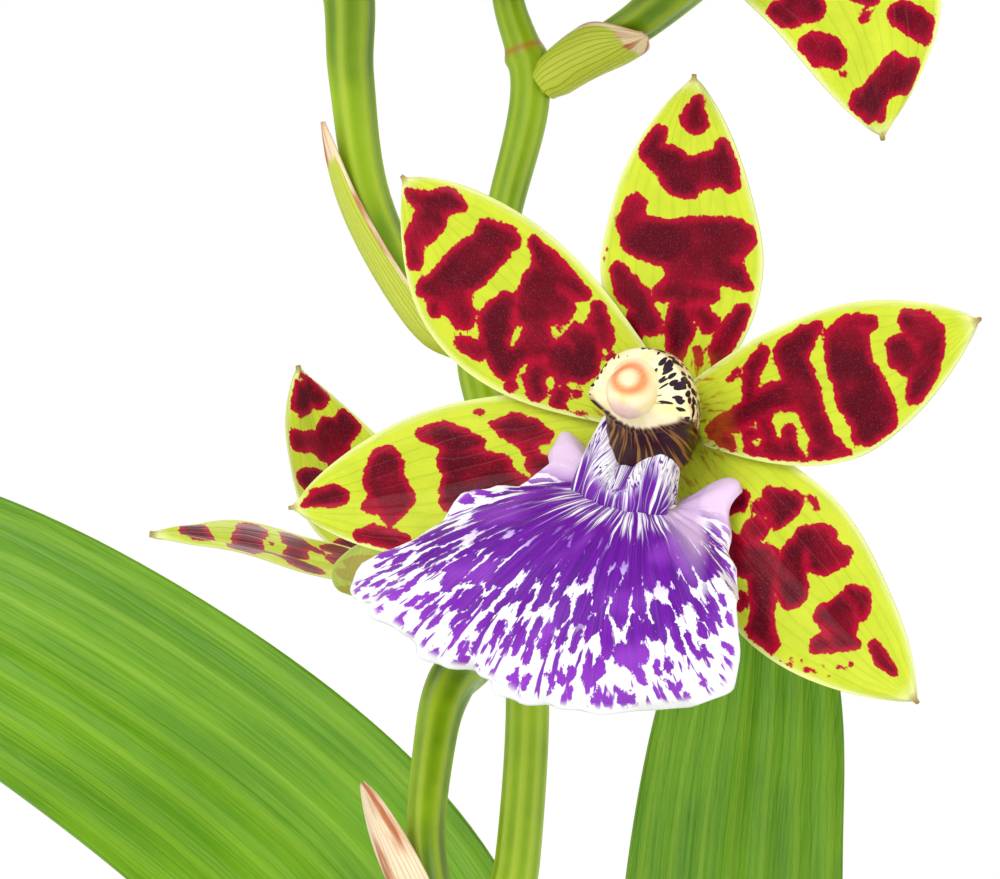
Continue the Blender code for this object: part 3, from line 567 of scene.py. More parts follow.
# Strokes on the tepals of the main bloom, as marks and as gaps in the marks
mainStrokes = {
    "dorsal_sepal": (
        [(35.7, 0.7, 0.9, 34, 0.5, 1.7, 33.7, 1.3, 1.1),
         (32.2, -3.3, 0.8, 30, -4.4, 1.2, 29, -2.2, 1.9, 27.6, -1, 2.2, 28.2, 1.3, 1.8, 29, 3.9, 2.1, 27.6, 5.3, 1.1),
         (31.3, 4, 0.8, 29.2, 4.5, 1.8), (26.6, -1.3, 1.3, 26.5, 0.4, 1.2),
         (24.2, -5.7, 1.1, 22, -6.7, 1.4, 20.6, -5.1, 2.4, 20.1, -1.6, 2.6, 20.5, 2.2, 3, 21.4, 5.6, 2.4, 21.9, 7, 1.4),
         (17.9, -0.1, 2.2, 18.4, 3.3, 2.4, 17.6, 6, 1.5, 16.4, 7.6, 0.7),
         (14.7, -2.3, 1, 15, -0.1, 1.5, 15.2, 3.6, 1), (16.4, -0.3, 1.8, 13.7, 0.3, 0.8),
         (16.5, -7.4, 1, 14.6, -6.1, 1.7, 13.2, -4.6, 1.4, 11, -3.3, 1.3), (11.6, -5, 1.1, 9.5, -5, 0.9),
         (12.5, -0.1, 1.3, 10.6, 0.1, 1.8, 7.7, -0.1, 1), (12.9, 2.5, 1.1, 11.9, 3.6, 1.2),
         (13.4, 7.4, 1.1, 11.5, 6.9, 1.8, 8.9, 5.3, 1.5, 7.3, 5.6, 1.1), (8.7, 2.6, 0.5, 7, 2.9, 0.38),
         (5.7, 4.1, 0.5), (18.9, -9.1, 0.16), (17.6, -9.2, 0.12), (16.3, 9.2, 0.19, 15.3, 9.1, 0.21)],
        [],
    ),
    "petal_left": (
        [(38.3, -0.5, 0.7, 36.1, 0.5, 1.4, 34.5, 2.7, 1.4, 33.1, 3.7, 0.7), (34.9, 0, 2, 34.6, -1.5, 1.7),
         (34.9, -2.7, 1.1, 32.9, -4.5, 1), (29.3, 4, 1.1, 27, 5.2, 1.3, 26.2, 5.3, 1),
         (27.5, 3.3, 2.2, 28.2, -0.9, 2.7, 28.7, -3.9, 2, 30, -5.6, 1), (26.4, -4.1, 1.7, 24.7, -4.7, 1.4),
         (27.7, -6.2, 1), (24.5, 7, 0.6, 22.2, 6.3, 1.4, 20.4, 6, 1.7, 18.2, 6.1, 1.2, 16.3, 6.2, 0.7),
         (20.6, 4.1, 2.3, 19.4, 1.6, 2.5),
         (22.2, -0.2, 1.3, 21.9, -2.3, 1.9, 20.2, -4.1, 1.8, 17.6, -5.3, 1.8, 17.3, -3.4, 1.5),
         (22.9, -7, 0.8, 20.9, -6.2, 1.1), (18.2, -0.6, 2.1, 16.4, -1.6, 1.8), (17.5, 3.3, 1.8),
         (14.3, 6.1, 0.7, 13, 4.6, 1.2, 11.4, 3.6, 1), (14.5, 1.9, 1.3, 12.6, 2.2, 1.5, 11.4, -0.6, 2),
         (13.6, -1, 2, 12.6, -2.8, 1.2), (14.4, -4.2, 1.5, 13, -5.8, 1),
         (11, -4.5, 1, 10.2, -5.9, 0.6, 9.5, -5.7, 0.5), (15.7, -6.9, 0.7), (9.5, 2.3, 0.6), (9.6, -3.4, 0.5),
         (7.8, -5, 0.48)],
        [(19.2, -1.4, 0.49, 18.7, -3.1, 0.42),
         (15.5, 0.9, 0.46, 15.6, 2.6, 0.31, 14.8, 4.3, 0.27, 13.9, 3.7, 0.27),
         (12.7, -3.9, 0.6, 12.1, -4.5, 0.46), (16, -4, 0.27, 15.8, -5.2, 0.46)],
    ),
    "petal_right": (
        [(31.8, -3.6, 0.9, 33, -2, 1.8, 33.9, -0.9, 1.6, 33.1, 1.1, 2, 32, 2.9, 1.7, 30.8, 4.4, 1.1),
         (29.5, -1.5, 1, 29.4, -0.2, 1.1), (30.4, -1.2, 1.4, 30.8, 0.9, 1.5), (25.3, -5.6, 1.1, 27.9, -4.9, 0.8),
         (25.4, -5.1, 1.4, 24.3, -3.7, 2.8, 23.6, -1.3, 2.6, 24.3, 1.7, 3.1, 25.5, 4.7, 2.8, 24.1, 5.9, 1.7),
         (26.7, 5.7, 1.5), (22.7, 6.3, 0.6),
         (21.2, -6.7, 0.7, 19.2, -5.8, 1.5, 17, -4.8, 1.8, 17.5, -2.6, 2, 17.7, 0.2, 1.8, 18.2, 2.8, 1.5, 18.8,
          5.8, 1.5, 20.8, 7.5, 0.7),
         (17.5, 6.3, 1, 18.9, 7.3, 0.7),
         (16.1, -0.5, 1.9, 13.5, -0.5, 1.5, 11, 0.2, 1.4, 7.9, 1.3, 1.2, 5.6, 2.1, 1),
         (12.4, 2.5, 1.3, 12.2, 5, 1.4, 13.1, 6.7, 1), (14.2, 5.8, 1.7, 15.2, 7.1, 0.9), (14.9, 3.7, 1),
         (14, -5.6, 0.8, 12.4, -4.2, 1.1, 11.3, -2.3, 0.9, 10.8, -0.9, 0.7), (10.5, -4.3, 0.26, 9, -3.3, 0.26),
         (9.7, 5, 1, 10.5, 6.1, 0.7), (6.6, 3.6, 1.3, 5.9, 4.4, 0.5, 7.3, 4.8, 0.44), (9.9, 3.2, 1)],
        [(13.6, 1.9, 0.7, 13.6, 3.8, 0.39), (15.9, 3.6, 0.26, 15.9, 6.1, 0.3),
         (13.1, -2.7, 0.39, 12.7, -1.8, 0.22), (10.3, 4.1, 0.48, 11.2, 3.6, 0.26)],
    ),
    "lateral_sepal_left": (
        [(42.2, 0.1, 0.29, 40.4, 0.7, 1, 38.5, 0.8, 1.3, 37.9, 0.7, 1.1),
         (31.4, 4.5, 1, 31.9, 3.5, 1.9, 32.6, 1.6, 2.3, 32.1, -0.4, 2.4, 32.6, -2.5, 1), (34.7, -0.9, 0.9),
         (30.5, -0.7, 1), (20.5, 7.2, 0.39, 21, 7.3, 0.22),
         (27.5, 6.1, 0.6, 25.3, 5.7, 1.4, 23.6, 4.4, 1.7, 21.5, 3.9, 0.9),
         (24.6, 2.4, 1.7, 23, 0.8, 2.7, 20.1, 0.4, 2),
         (24.4, -0.6, 2.3, 23, -2.3, 1.8, 19, -1.1, 1.5, 17.3, -2.3, 1), (25.9, -1.8, 1, 24.4, -3.6, 0.8),
         (19.3, 5.5, 0.5, 17.2, 4.6, 1.6, 15.6, 3.5, 1.7, 13.7, 2.6, 0.7), (16, 2, 0.9),
         (15.6, 0.2, 1.1, 14.3, -1.2, 1.7, 15.5, -2.3, 0.9),
         (36.4, -4.1, 0.6, 34.8, -4.2, 1.1, 33.2, -5.2, 1.2, 31.5, -5.4, 0.7)],
        [],
    ),
    "lateral_sepal_right": (
        [(12.7, -1.4, 0.6, 13, -0.7, 1, 12.2, 0.9, 0.8), (10.9, 3.8, 0.9),
         (14.7, -3.7, 0.7, 16.3, -3.8, 1.6, 17.8, -5.1, 1.3, 17.7, -2.8, 1.2), (16.9, -3.4, 1.2, 14.7, -1.6, 0.5),
         (18.4, -6.9, 0.13, 19.7, -7, 0.29, 20.3, -6.7, 0.27),
         (13.2, 3.6, 1, 15.3, 3.2, 1.2, 18.2, 3, 2, 20.1, 1.6, 1.9, 22.2, 3.7, 1.6, 23.9, 5, 1.3, 25.8, 7, 1.7,
          27.5, 6.9, 1.2),
         (16.5, 0.1, 1.4, 17.1, -0.6, 0.9), (23.2, 0.3, 2, 25.3, 1.6, 1.6),
         (21.8, -3.5, 1.5, 23.4, -5, 1.6, 24.8, -3.9, 2.2, 26.5, -5.4, 1.2), (22.1, -1.5, 1.7, 22.5, 0.6, 1.5),
         (24.8, 7.7, 0.8), (21.3, 5.9, 0.6, 21.6, 6.5, 0.7), (30.3, -3.4, 1, 31.7, -4, 1, 32.5, -2.9, 1.1),
         (30.9, -0.5, 2.5, 29.6, 0.5, 1.3), (32.9, 1, 1.7, 34.3, 0.3, 0.8), (31.7, 3, 1.1, 32.7, 2.1, 0.9),
         (36.4, -1.1, 0.8, 37.8, -0.7, 1, 39.8, -0.7, 0.5), (30.8, 6.2, 0.15), (31.8, 5.7, 0.17),
         (32.4, 6.8, 0.13), (33.8, 5.4, 0.12), (30.4, 7.4, 0.12), (30.9, 6.8, 0.12), (26.4, 8.2, 0.12),
         (27.9, 8, 0.12), (29, 7.8, 0.12), (35.2, 3.3, 0.12), (35.9, 2.8, 0.12), (33.8, 4.2, 0.12),
         (31.4, 7.1, 0.12), (30.1, 7.5, 0.12), (35, 4.6, 0.12), (35.9, 2.1, 0.12),
         (32.7, 6, 0.12, 33.3, 5.5, 0.12)],
        [(20.1, -3.4, 0.19), (20, 0.1, 0.15), (25.5, -0.6, 0.23)],
    ),
}

tepalFinish = newMaterial("tepal", tepalLook, Roughness=0.38, Subsurface_Weight=0.08, Subsurface_Scale=0.002,
                          Subsurface_Radius=(1.0, 0.6, 0.2), Specular_IOR_Level=0.1)
for bloomIndex, (bloom, (_, _, _, slopes)) in enumerate(blooms.items()):
    for tepalIndex, (kind, spec) in enumerate(tepals.items()):
        seed = tepal["seed"] + 10 * bloomIndex + tepalIndex
        if (bloom, kind) == tepal["widerTepal"]:
            spec = (*spec[:2], tepal["widerWidth"], tepal["widerWidest"], spec[4], tepal["widerBow"])
        points, u, v, along, side, half = tepalSheet(spec, *slopes.get(kind, slopes["all"]), seed)
        if bloom == "main":
            marks, gaps = (strokeDepth(along, side, strokes) for strokes in mainStrokes[kind])
            depth = np.minimum(marks, -gaps)
        else:
            depth = strokeDepth(along, side, ruledStrokes(spec[1], spec[2], seed))
            depth = depth + 0.5 * wobble(0.6 * along, 0.8 * side, seed + 40)
        toRim = half - np.abs(side)
        thick = tepal["thick"] * (1.0 - 0.72 * smoothStep(0.55, 1.0, np.abs(v))) * (1.0 - 0.5 * smoothStep(0.9, 1.0, u))
        shell = Shell().add(
            *sheetShell(intoWorld(points, bloom), thick),
            blade=np.stack([along, side, v], axis=-1),
            depth=np.minimum(depth, toRim - tepal["plainRim"]),
            rim=np.clip(smoothStep(0.9, -0.1, toRim) + smoothStep(0.93, 1.0, u), 0, 1),
            foot=1.0 - smoothStep(5.5, 9.5, along + 1.2 * wobble(side, along, seed, 2)),
            tip=smoothStep(0.965, 0.995, u),
            front=np.repeat([1.0, 0.0], u.size),
        )
        finishPiece(f"{bloom}Bloom_{kind}", f"bloom_{bloom}_{kind}", shell, tepalFinish)
print("tepals done")


# Lips. The fan's outline is (angle from its middle line, length along the drape)
lip = {
    "neck": (-8.3, 5.0), "neckRadius": 5.0, "lean": 0.215, "start": 12.0, "end": 95.0, "reach": 28.0,
    "droop": 0.0135, "earLift": 5.0, "rows": 84, "cols": 190, "thick": 0.7, "widest": 114.0,
    "outline": ((-114.0, 12.6), (-100.0, 11.6), (-88.0, 11.8), (-76.0, 14.5), (-66.0, 19.5), (-56.0, 26.6),
                (-47.0, 32.8), (-40.0, 34.2), (-30.0, 32.2), (-16.0, 31.4), (0.0, 31.3), (16.0, 32.4), (28.0, 33.8),
                (38.0, 33.6), (46.0, 30.2), (56.0, 22.8), (66.0, 17.4), (76.0, 13.4), (88.0, 11.4), (100.0, 11.2),
                (114.0, 12.4)),
    "notchAngle": -36.0, "notchDepth": 2.0, "notchWidth": 2.6, "seed": 300, "crestRows": 44, "crestCols": 66,
    "claw": ((0.0, -5.0, 2.2), (0.0, -6.6, 4.2), (0.0, -8.0, 7.0), (0.0, -9.5, 9.6)),
    "clawShares": (0.0, 0.3, 0.65, 1.0), "clawRadii": (2.1, 2.6, 3.2, 2.0), "clawRows": 24,
    "scale": {"main": 1.0, "right": 0.97, "left": 0.94, "back": 0.84},
}


def lipLength(angle):
    # Length of the fan at an angle: a smooth line through the outline, with one notch
    curve = spline(lip["outline"], 400)
    notch = lip["notchDepth"] * bell(angle - lip["notchAngle"], lip["notchWidth"])
    return np.interp(angle, curve[:, 0], curve[:, 1]) - notch


def lipSheet(seed):
    # A fan about the neck, laid along a line that arches forward and down. Its sides
    # hang back, its two ears lift, frills in three sizes grow towards a rim that rolls
    # under, and shallow creases run out from the neck
    u, v = grid(lip["rows"], lip["cols"])
    u = u**0.85
    angle = v * lip["widest"]
    ragged = 0.9 * wobble(angle / 5.0, 0.0 * u, seed, 2) + 0.55 * wobble(angle / 2.0, 0.0 * u, seed + 3, 1)
    reach = lip["neckRadius"] + u * (lipLength(angle) + ragged * u - lip["neckRadius"])
    across, along = reach * np.sin(np.radians(angle)), reach * np.cos(np.radians(angle))
    start = math.radians(lip["start"])
    turn = math.radians(lip["end"] - lip["start"]) / lip["reach"]
    fall = start + turn * np.maximum(along, 0.0)
    down = (math.cos(start) - np.cos(fall)) / turn + math.sin(start) * np.minimum(along, 0.0)
    forward = (np.sin(fall) - math.sin(start)) / turn + math.cos(start) * np.minimum(along, 0.0)
    side = np.abs(angle)
    earWave = 0.55 * u**2 * np.sin(0.24 * angle + 3.0 * u)
    ears = smoothStep(74.0, 104.0, side) * (lip["earLift"] * smoothStep(-0.2, 0.9, u) + earWave)
    frill = 1.25 * u**3 * np.sin(v * 5.5 * math.pi) + 1.15 * u**5 * np.sin(v * 13.0 * math.pi + 0.8)
    frill = frill + 0.6 * u**8 * np.sin(v * 31.0 * math.pi + 2.0 * np.sin(9.0 * v))
    frill = frill * (1.0 - smoothStep(70.0, 85.0, side))
    crease = 0.12 * np.sin(angle * 0.55 + 1.5 * np.sin(0.4 * reach)) * smoothStep(0.02, 0.2, u) * (1.0 - 0.5 * u)
    roll = 0.8 * smoothStep(0.9, 1.02, u) ** 1.5
    rise = frill + ears + crease - lip["droop"] * across**2 - roll
    y = lip["neck"][0] - down + rise * np.cos(fall)
    z = lip["neck"][1] + forward + rise * np.sin(fall)
    return np.stack([across - lip["lean"] * np.maximum(down, 0.0), y, z], axis=-1), u, v, angle, reach


def crestSheet():
    # The crest: a thick saddle that stands on the neck. Its upper rim has two humps with
    # a dip between them, its sides wrap back, and furrows run up it
    u, v = grid(lip["crestRows"], lip["crestCols"], eased=True)
    x = 6.0 * v - 0.9
    foot = -11.0
    top = -6.2 + 6.6 * bell(np.abs(v) - 0.66, 0.26) - 2.6 * smoothStep(0.86, 1.0, np.abs(v))
    furrow = 0.16 * np.cos(17.0 * v + 0.9 * np.sin(5.0 * u)) * smoothStep(0.0, 0.3, u)
    z = 8.9 + 0.9 * np.sin(math.pi * u) - 2.4 * u**2 - 0.055 * x**2 + furrow
    thick = np.sqrt(np.clip(1.0 - v**2, 0.0, 1.0)) * np.sqrt(np.clip(1.0 - (2.0 * u - 1.0) ** 6, 0.0, 1.0))
    return np.stack([x - 0.7 * v * u, foot + u * (top - foot), z], axis=-1), 0.5 + 2.0 * thick, u, v


def clawTube():
    # The short stalk that carries the lip, thickest under the crest
    rows = lip["clawRows"]
    radius = np.interp(np.linspace(0.0, 1.0, rows), lip["clawShares"], lip["clawRadii"])
    return pathTube(spline(lip["claw"], rows), radius, rows)


white, violet, deepViolet, lightViolet = (252, 250, 253), (114, 0, 166), (82, 0, 132), (162, 70, 210)


def lipLook(tree):
    # White ground with violet: streaks that run out from the neck, which break into
    # islands towards the rim; the islands are cells of a pattern in (angle, length),
    # wide where violet is meant to win; the crest has ink lines, the ears turn lavender
    fan = stored(tree, "fan", output="Vector")
    edge, ear, crest, front = stored(tree, "edge", "ear", "crest", "front")
    outward = thirdOf(fan)
    drift = warp(fan, (0.10, 0.22, 0.0), (5.0, 2.6, 0.0))
    fineLines = noise(fan, (1.5, 0.10, 0.0))
    reach = ramp(outward, 0.28, 1.0, 0.80, 0.30)
    ragged = (noise(fan, (0.9, 1.1, 0.0), 3.0, 0.65) - 0.5) * 0.85
    slow = (noise(fan, (0.06, 0.12, 0.0), 1.0) - 0.5) * 0.5
    islands = ramp(reach - cells(drift, (0.36, 0.30, 0.0), 0.95) + ragged + slow, -0.03, 0.07)
    dashes = ramp(noise(fan, (0.62, 0.24, 0.0)), 0.555, 0.61) * ramp(outward, 0.5, 0.72)
    islands = mathNode("MAXIMUM", islands, dashes)
    streaks = noise(drift, (0.42, 0.07, 0.0), 3.0, 0.6) - ramp(outward, 0.1, 0.28, 0.45, 0.33)
    inner = ramp(outward, 0.18, 0.45)
    pattern = islands * inner + ramp(streaks, -0.05, 0.09) * (1.0 - inner)
    pattern = mathNode("MULTIPLY", pattern, 1.0 - edge, clamp=True)
    paint = over(violet, (ramp(fineLines, 0.35, 0.7), deepViolet),
                 (ramp(noise(fan, (0.05, 0.12, 0.0)), 0.5, 0.72, 0.0, 0.55), lightViolet),
                 (ramp(outward, 0.62, 0.98, 0.0, 0.6), lightViolet))
    haze = ramp(outward, 0.3, 0.6, 0.85, 0.0) * ramp(outward, 0.2, 0.3)
    ears = over((236, 206, 240), (ramp(fineLines, 0.4, 0.75, 0.0, 0.5), (214, 198, 238)))
    ribs = noise(drift, (0.42, 0.30, 0.0))
    thickLine, thinLine = (mathNode("ABSOLUTE", ribs - middle) for middle in (0.5, 0.62))
    crests = over(white, (ramp(noise(fan, (0.9, 0.12, 0.0)), 0.5, 0.7, 0.0, 0.6), lightViolet),
                  (ramp(thickLine, 0.035, 0.012), deepViolet), (ramp(thinLine, 0.02, 0.008), (44, 8, 66)))
    colour = over(white, (haze, (182, 140, 232)), (pattern, paint), (ear, ears), (crest, crests))
    rear = over(white, (pattern * 0.45, lightViolet))
    return {"Base Color": over(rear, (front, colour)), "Roughness": fineLines * 0.2 + 0.32,
            "Normal": bump(fineLines * 0.7 + noise(fan, 2.4) * 0.3, 0.4, 0.0003)}


lipFinish = newMaterial("lip", lipLook, Roughness=0.42, Subsurface_Weight=0.15, Subsurface_Scale=0.002,
                        Subsurface_Radius=(1.0, 0.7, 0.9), Sheen_Weight=0.05, Specular_IOR_Level=0.22)
for bloomIndex, bloom in enumerate(blooms):
    scale = lip["scale"][bloom]
    points, u, v, angle, reach = lipSheet(lip["seed"] + bloomIndex)
    earMark = smoothStep(78.0, 90.0, np.abs(angle)) * smoothStep(0.12, 0.5, u)
    paleSide = 0.8 * smoothStep(42.0, 66.0, angle) * smoothStep(0.66, 0.4, u)
    thick = lip["thick"] * (1.0 - 0.45 * smoothStep(0.3, 0.9, u))
    shell = Shell().add(
        *sheetShell(intoWorld(points, bloom, scale), thick * scale),
        fan=np.stack([angle, reach, u], axis=-1),
        edge=smoothStep(0.945, 0.985, u + 0.02 * wobble(angle / 3.0, reach, lip["seed"] + 10 + bloomIndex, 2)),
        ear=np.maximum(earMark, paleSide), crest=0.0, front=np.repeat([0.0, 1.0], u.size),
    )
    points, thick, u, v = crestSheet()
    shell.add(*sheetShell(intoWorld(points, bloom, scale), thick * scale), edge=0.0, ear=0.0, front=1.0,
              fan=np.stack([v * 62.0, 2.0 + 7.0 * (1.0 - u), 0.24 - 0.2 * u], axis=-1),
              crest=smoothStep(0.35, 0.62, u + 0.10 * wobble(v * 9.0, u, lip["seed"] + 30, 2)))
    points, faces, share, turn = clawTube()
    fan = np.stack([np.degrees(turn) - 180.0, 3.0 + 4.0 * share, 0.1 + 0.0 * share], axis=-1)
    shell.add(intoWorld(points, bloom, scale), faces, fan=(fan, [[0.0, 3.0, 0.1]] * 2), edge=0.0, ear=0.0, crest=0.0,
              front=1.0)
    finishPiece(f"{bloom}Bloom_lip", f"bloom_{bloom}_lip", shell, lipFinish)
print("lips done")


# Columns
column = {
    "rows": 70, "around": 72,
    "line": ((0.0, 0.0, -0.6), (0.0, 0.2, 2.0), (0.3, 1.0, 5.0), (0.3, 1.9, 8.4), (0.1, 2.2, 11.0), (0.0, 1.9, 13.0)),
    "shares": (0.0, 0.15, 0.4, 0.7, 0.86, 0.94, 1.0), "radii": (3.0, 3.4, 4.6, 5.7, 5.5, 4.2, 2.0),
    "cap": ((0.0, 4.4, 8.2), (-0.3, 4.1, 10.6), (-0.5, 2.8, 12.8), (-0.5, 0.0, 14.2)), "capRadius": 3.15,
    "capRows": 34, "capAround": 36,
}


def columnTube():
    # A hood: rings along a line that rises and leans forward. Each ring is round above
    # and flat below, with a wing at each side near the mouth and a foot that reaches down
    # to the crest, and the last rings close it
    curve = spline(column["line"], column["rows"])
    radius = np.interp(np.linspace(0.0, 1.0, column["rows"]), column["shares"], column["radii"])

    def shape(s, a):
        height = np.sin(a)
        below = np.clip(-height, 0.0, 1.0)
        mouth = smoothStep(0.45, 0.8, s)
        wings = 0.2 * bell(height + 0.2, 0.24) * mouth
        foot = 0.75 * below**1.5 * bell(s - 0.34, 0.2)
        return 1.0 - 0.34 * below**0.8 * mouth + foot + wings + 0.025 * np.cos(26.0 * a) * below

    return pathTube(curve, radius, column["around"], shape)


def capTube():
    # The anther cap: a bulb at the mouth, with a ring pressed into its face
    curve = spline(column["cap"], column["capRows"])
    across = np.linspace(-1.0, 1.0, column["capRows"])
    radius = column["capRadius"] * np.clip(1.0 - across**2, 0.02, 1.0) ** 0.45
    return pathTube(curve, radius, column["capAround"],
                    lambda s, a: 1.0 - 0.07 * bell(s - 0.62, 0.05) + 0.02 * np.cos(2.0 * a))


def columnLook(tree):
    # Cream, with ink spots over its back, a throat of dark and tan stripes, and a cap
    # that has an orange ring and a blush lip
    zone = stored(tree, "zone", output="Vector")
    throat, ring, back, blush = stored(tree, "throat", "ring", "back", "blush")
    dots = cells(warp(zone, 0.5, (1.2, 1.2, 1.2)), (0.95, 1.35, 0.0), 0.9)
    spots = ramp(ramp(noise(zone, 0.3), 0.3, 0.65, 0.16, 0.52) * back - dots, 0.0, 0.05)
    stripes = noise(zone, (0.16, 2.1, 0.0))
    inner = over((44, 0, 10), (ramp(stripes, 0.49, 0.62), (150, 104, 40)))
    colour = over((250, 238, 196), (ramp(noise(zone, 0.35), 0.4, 0.7), (248, 226, 160)), (spots, (38, 8, 34)),
                  (throat, inner), (ring, (240, 128, 62)), (blush, (228, 190, 186)))
    return {"Base Color": colour, "Roughness": stripes * 0.2 + 0.24,
            "Normal": bump(stripes * throat + noise(zone, 1.4, 3.0) * 0.4, 0.35, 0.0003)}


columnFinish = newMaterial("column", columnLook, Roughness=0.36, Specular_IOR_Level=0.3, Subsurface_Weight=0.1,
                           Subsurface_Scale=0.002, Subsurface_Radius=(1.0, 0.7, 0.4), Coat_Weight=0.05)
for bloom in blooms:
    points, faces, s, a = columnTube()
    height = np.sin(a)
    throatMark = smoothStep(0.13, 0.19, -height + 0.03 * np.sin(40.0 * a)) * smoothStep(0.05, 0.1, s)
    rightFace = smoothStep(0.05, 0.35, -np.cos(a)) * smoothStep(1.0, 0.97, s)
    backMark = smoothStep(-0.3, -0.1, height) * np.maximum(smoothStep(0.93, 0.84, s), rightFace)
    shell = Shell().add(
        intoWorld(points, bloom), faces, ring=0.0, blush=0.0,
        zone=(np.stack([s * 14.0, np.degrees(a) * 0.09, 0.0 * s], axis=-1), [[0.0] * 3, [14.0, 0.0, 0.0]]),
        throat=throatMark * smoothStep(0.93, 0.89, s), back=backMark * smoothStep(0.05, 0.2, s),
    )
    points, faces, s, a = capTube()
    fromRing = np.hypot((s - 0.70) / 0.11, np.minimum(np.abs(a - 0.5 * math.pi) / 0.62, 9.0)) - 1.0
    shell.add(
        intoWorld(points, bloom), faces, throat=0.0, back=0.0,
        zone=(np.stack([s * 6.0, np.degrees(a) * 0.05, 0.0 * s], axis=-1), [[0.0] * 3, [6.0, 0.0, 0.0]]),
        ring=(0.95 * bell(fromRing, 0.38) * smoothStep(0.2, 0.5, s), [0.0, 1.0]),
        blush=(0.8 * smoothStep(0.88, 0.96, s), [0.0, 0.8]),
    )
    finishPiece(f"{bloom}Bloom_column", f"bloom_{bloom}_column", shell, columnFinish)
print("columns done")


# Spike, stalks, bracts and buds. Points are (x, y, z, radius); the ends are (depth
# behind the bloom's middle, radius), and the scars are lengths from the spike's foot
spike = {
    "points": ((6.0, -6.0, 93.0, 3.2), (6.4, -5.0, 130.0, 3.1), (6.2, -3.5, 180.0, 3.0), (3.5, -1.5, 235.0, 2.9),
               (0.8, -0.4, 275.0, 2.8), (0.0, 0.0, 299.9, 2.9), (2.1, 0.0, 312.0, 2.6), (3.2, 0.0, 331.0, 2.5),
               (1.7, 0.0, 346.1, 2.6), (-1.2, 0.0, 362.0, 2.3), (-2.5, 0.0, 370.9, 2.4), (0.3, 0.0, 385.6, 2.1),
               (3.5, 0.0, 400.3, 2.3), (0.9, 0.0, 411.0, 1.8), (-0.6, 0.0, 424.0, 1.7), (0.4, 1.0, 436.0, 1.5),
               (1.2, 2.0, 446.0, 1.3)),
    "scars": (58.0, 122.0, 209.0, 258.0, 282.0, 313.0, 338.0),
    "ends": ((7.3, 3.0), (3.7, 3.1), (2.1, 3.4), (1.2, 3.8), (0.5, 4.1), (0.0, 3.9)),
    # rows, points round each, ribs, depth of a rib as a share of the radius
    "spikeTube": (330, 36, 9, 0.018), "stalkTube": (56, 36, 6, 0.075), "budTube": (40, 28, 6, 0.05),
}
stalks = {
    "main": ((1.7, 0.0, 345.0, 1.6), (4.5, -6.5, 347.0, 1.9), (11.0, -14.0, 353.0, 2.3)),
    "right": ((3.4, 0.0, 399.8, 1.5), (8.5, -2.5, 403.5, 1.8), (16.5, -9.0, 408.0, 2.3)),
    "left": ((-2.6, 0.0, 370.0, 1.6), (-8.5, 0.5, 375.0, 1.9), (-15.0, 1.0, 388.0, 2.2), (-17.2, 1.2, 402.0, 2.5),
             (-18.0, 1.5, 414.0, 2.9)),
    "back": ((-0.2, 0.0, 299.0, 1.7), (-6.0, 2.5, 303.5, 1.9), (-8.6, 7.0, 313.0, 2.1), (-7.6, 17.0, 325.0, 2.4),
             (-6.0, 25.0, 330.5, 2.8)),
}
# stalk points, length, radius
buds = {
    "lower": (((-0.6, 0.0, 423.5, 1.1), (3.4, 1.5, 436.0, 1.3), (6.4, 3.0, 449.0, 1.6)), 17.0, 5.0),
    "upper": (((1.2, 2.0, 445.0, 1.1), (-1.0, 4.0, 452.0, 1.2), (-4.2, 6.5, 460.0, 1.3)), 12.5, 3.6),
}
# length, half angle, tilt out, side that it is on, how much of it is dry
bracts = {
    "main": (17.0, 70.0, 8.0, (0.5, -0.4, -0.8), 0.15),
    "right": (16.5, 140.0, 1.5, (0.3, -0.9, -0.3), 0.1),
    "left": (27.0, 74.0, 2.0, (-0.8, -0.4, -0.5), 0.12),
    "back": (19.5, 84.0, 14.0, (-0.9, -0.4, -0.2), 0.95),
}
bract = {"rows": 50, "cols": 30, "curveRows": 70, "thick": 0.5, "fromFoot": 3.2, "off": 0.35, "ridge": 0.12, "seed": 41}
stem, bractVein, burnt = (142, 176, 8), (150, 172, 30), (186, 104, 54)


def stalkRows(name, count):
    # The stalk's own points, then a straight end that swells into the back of its bloom
    middle, axes = bloomAxes(name)
    ends = [(*(middle - depth * axes[2]), radius) for depth, radius in spike["ends"]]
    return np.vstack([spline([*stalks[name], *ends[:2]], count), ends[2:]])


def stemLook(tree):
    # Green with lengthwise ribs, lighter on the ribs, with a dry ring at each node
    grain, patches = skin(objectCoords(tree), 1600.0, 70.0)
    rib, scar = stored(tree, "rib", "scar")
    colour = over(stem, (ramp(patches, 0.35, 0.7), (92, 130, 6)), (rib * 0.55, (186, 206, 70)), (scar, burnt))
    return {"Base Color": colour, "Roughness": grain * 0.2 + 0.26, "Normal": bump(grain, 0.25, 0.0002)}


def stemTube(shell, rows, around, ribs, depth, scars=()):
    # A tube with ribs that turn slowly round it, and a raised ring at each scar
    curve = rows[:, :3]
    length = np.insert(np.linalg.norm(np.diff(curve, axis=0), axis=1).cumsum(), 0, 0.0)
    swell, thin = np.zeros(len(rows)), np.zeros(len(rows))
    for scar in scars:
        swell = np.maximum(swell, bell(length - scar, 0.9))
        thin = np.maximum(thin, bell(length - scar - 0.9, 0.35))
    radius = rows[:, 3] * (1.0 + 0.16 * swell)
    fade = smoothStep(0.0, 0.1, np.linspace(0.0, 1.0, len(rows)))[:, None]
    points, faces, s, a = pathTube(curve, radius, around, lambda s, a: 1.0 + depth * fade * np.cos(ribs * a + 1.5 * s))
    rib = (0.5 + 0.5 * np.cos(ribs * a + 1.5 * s)) ** 2
    shell.add(points, faces, rib=rib, scar=0.8 * thin[:, None] + 0.0 * a)


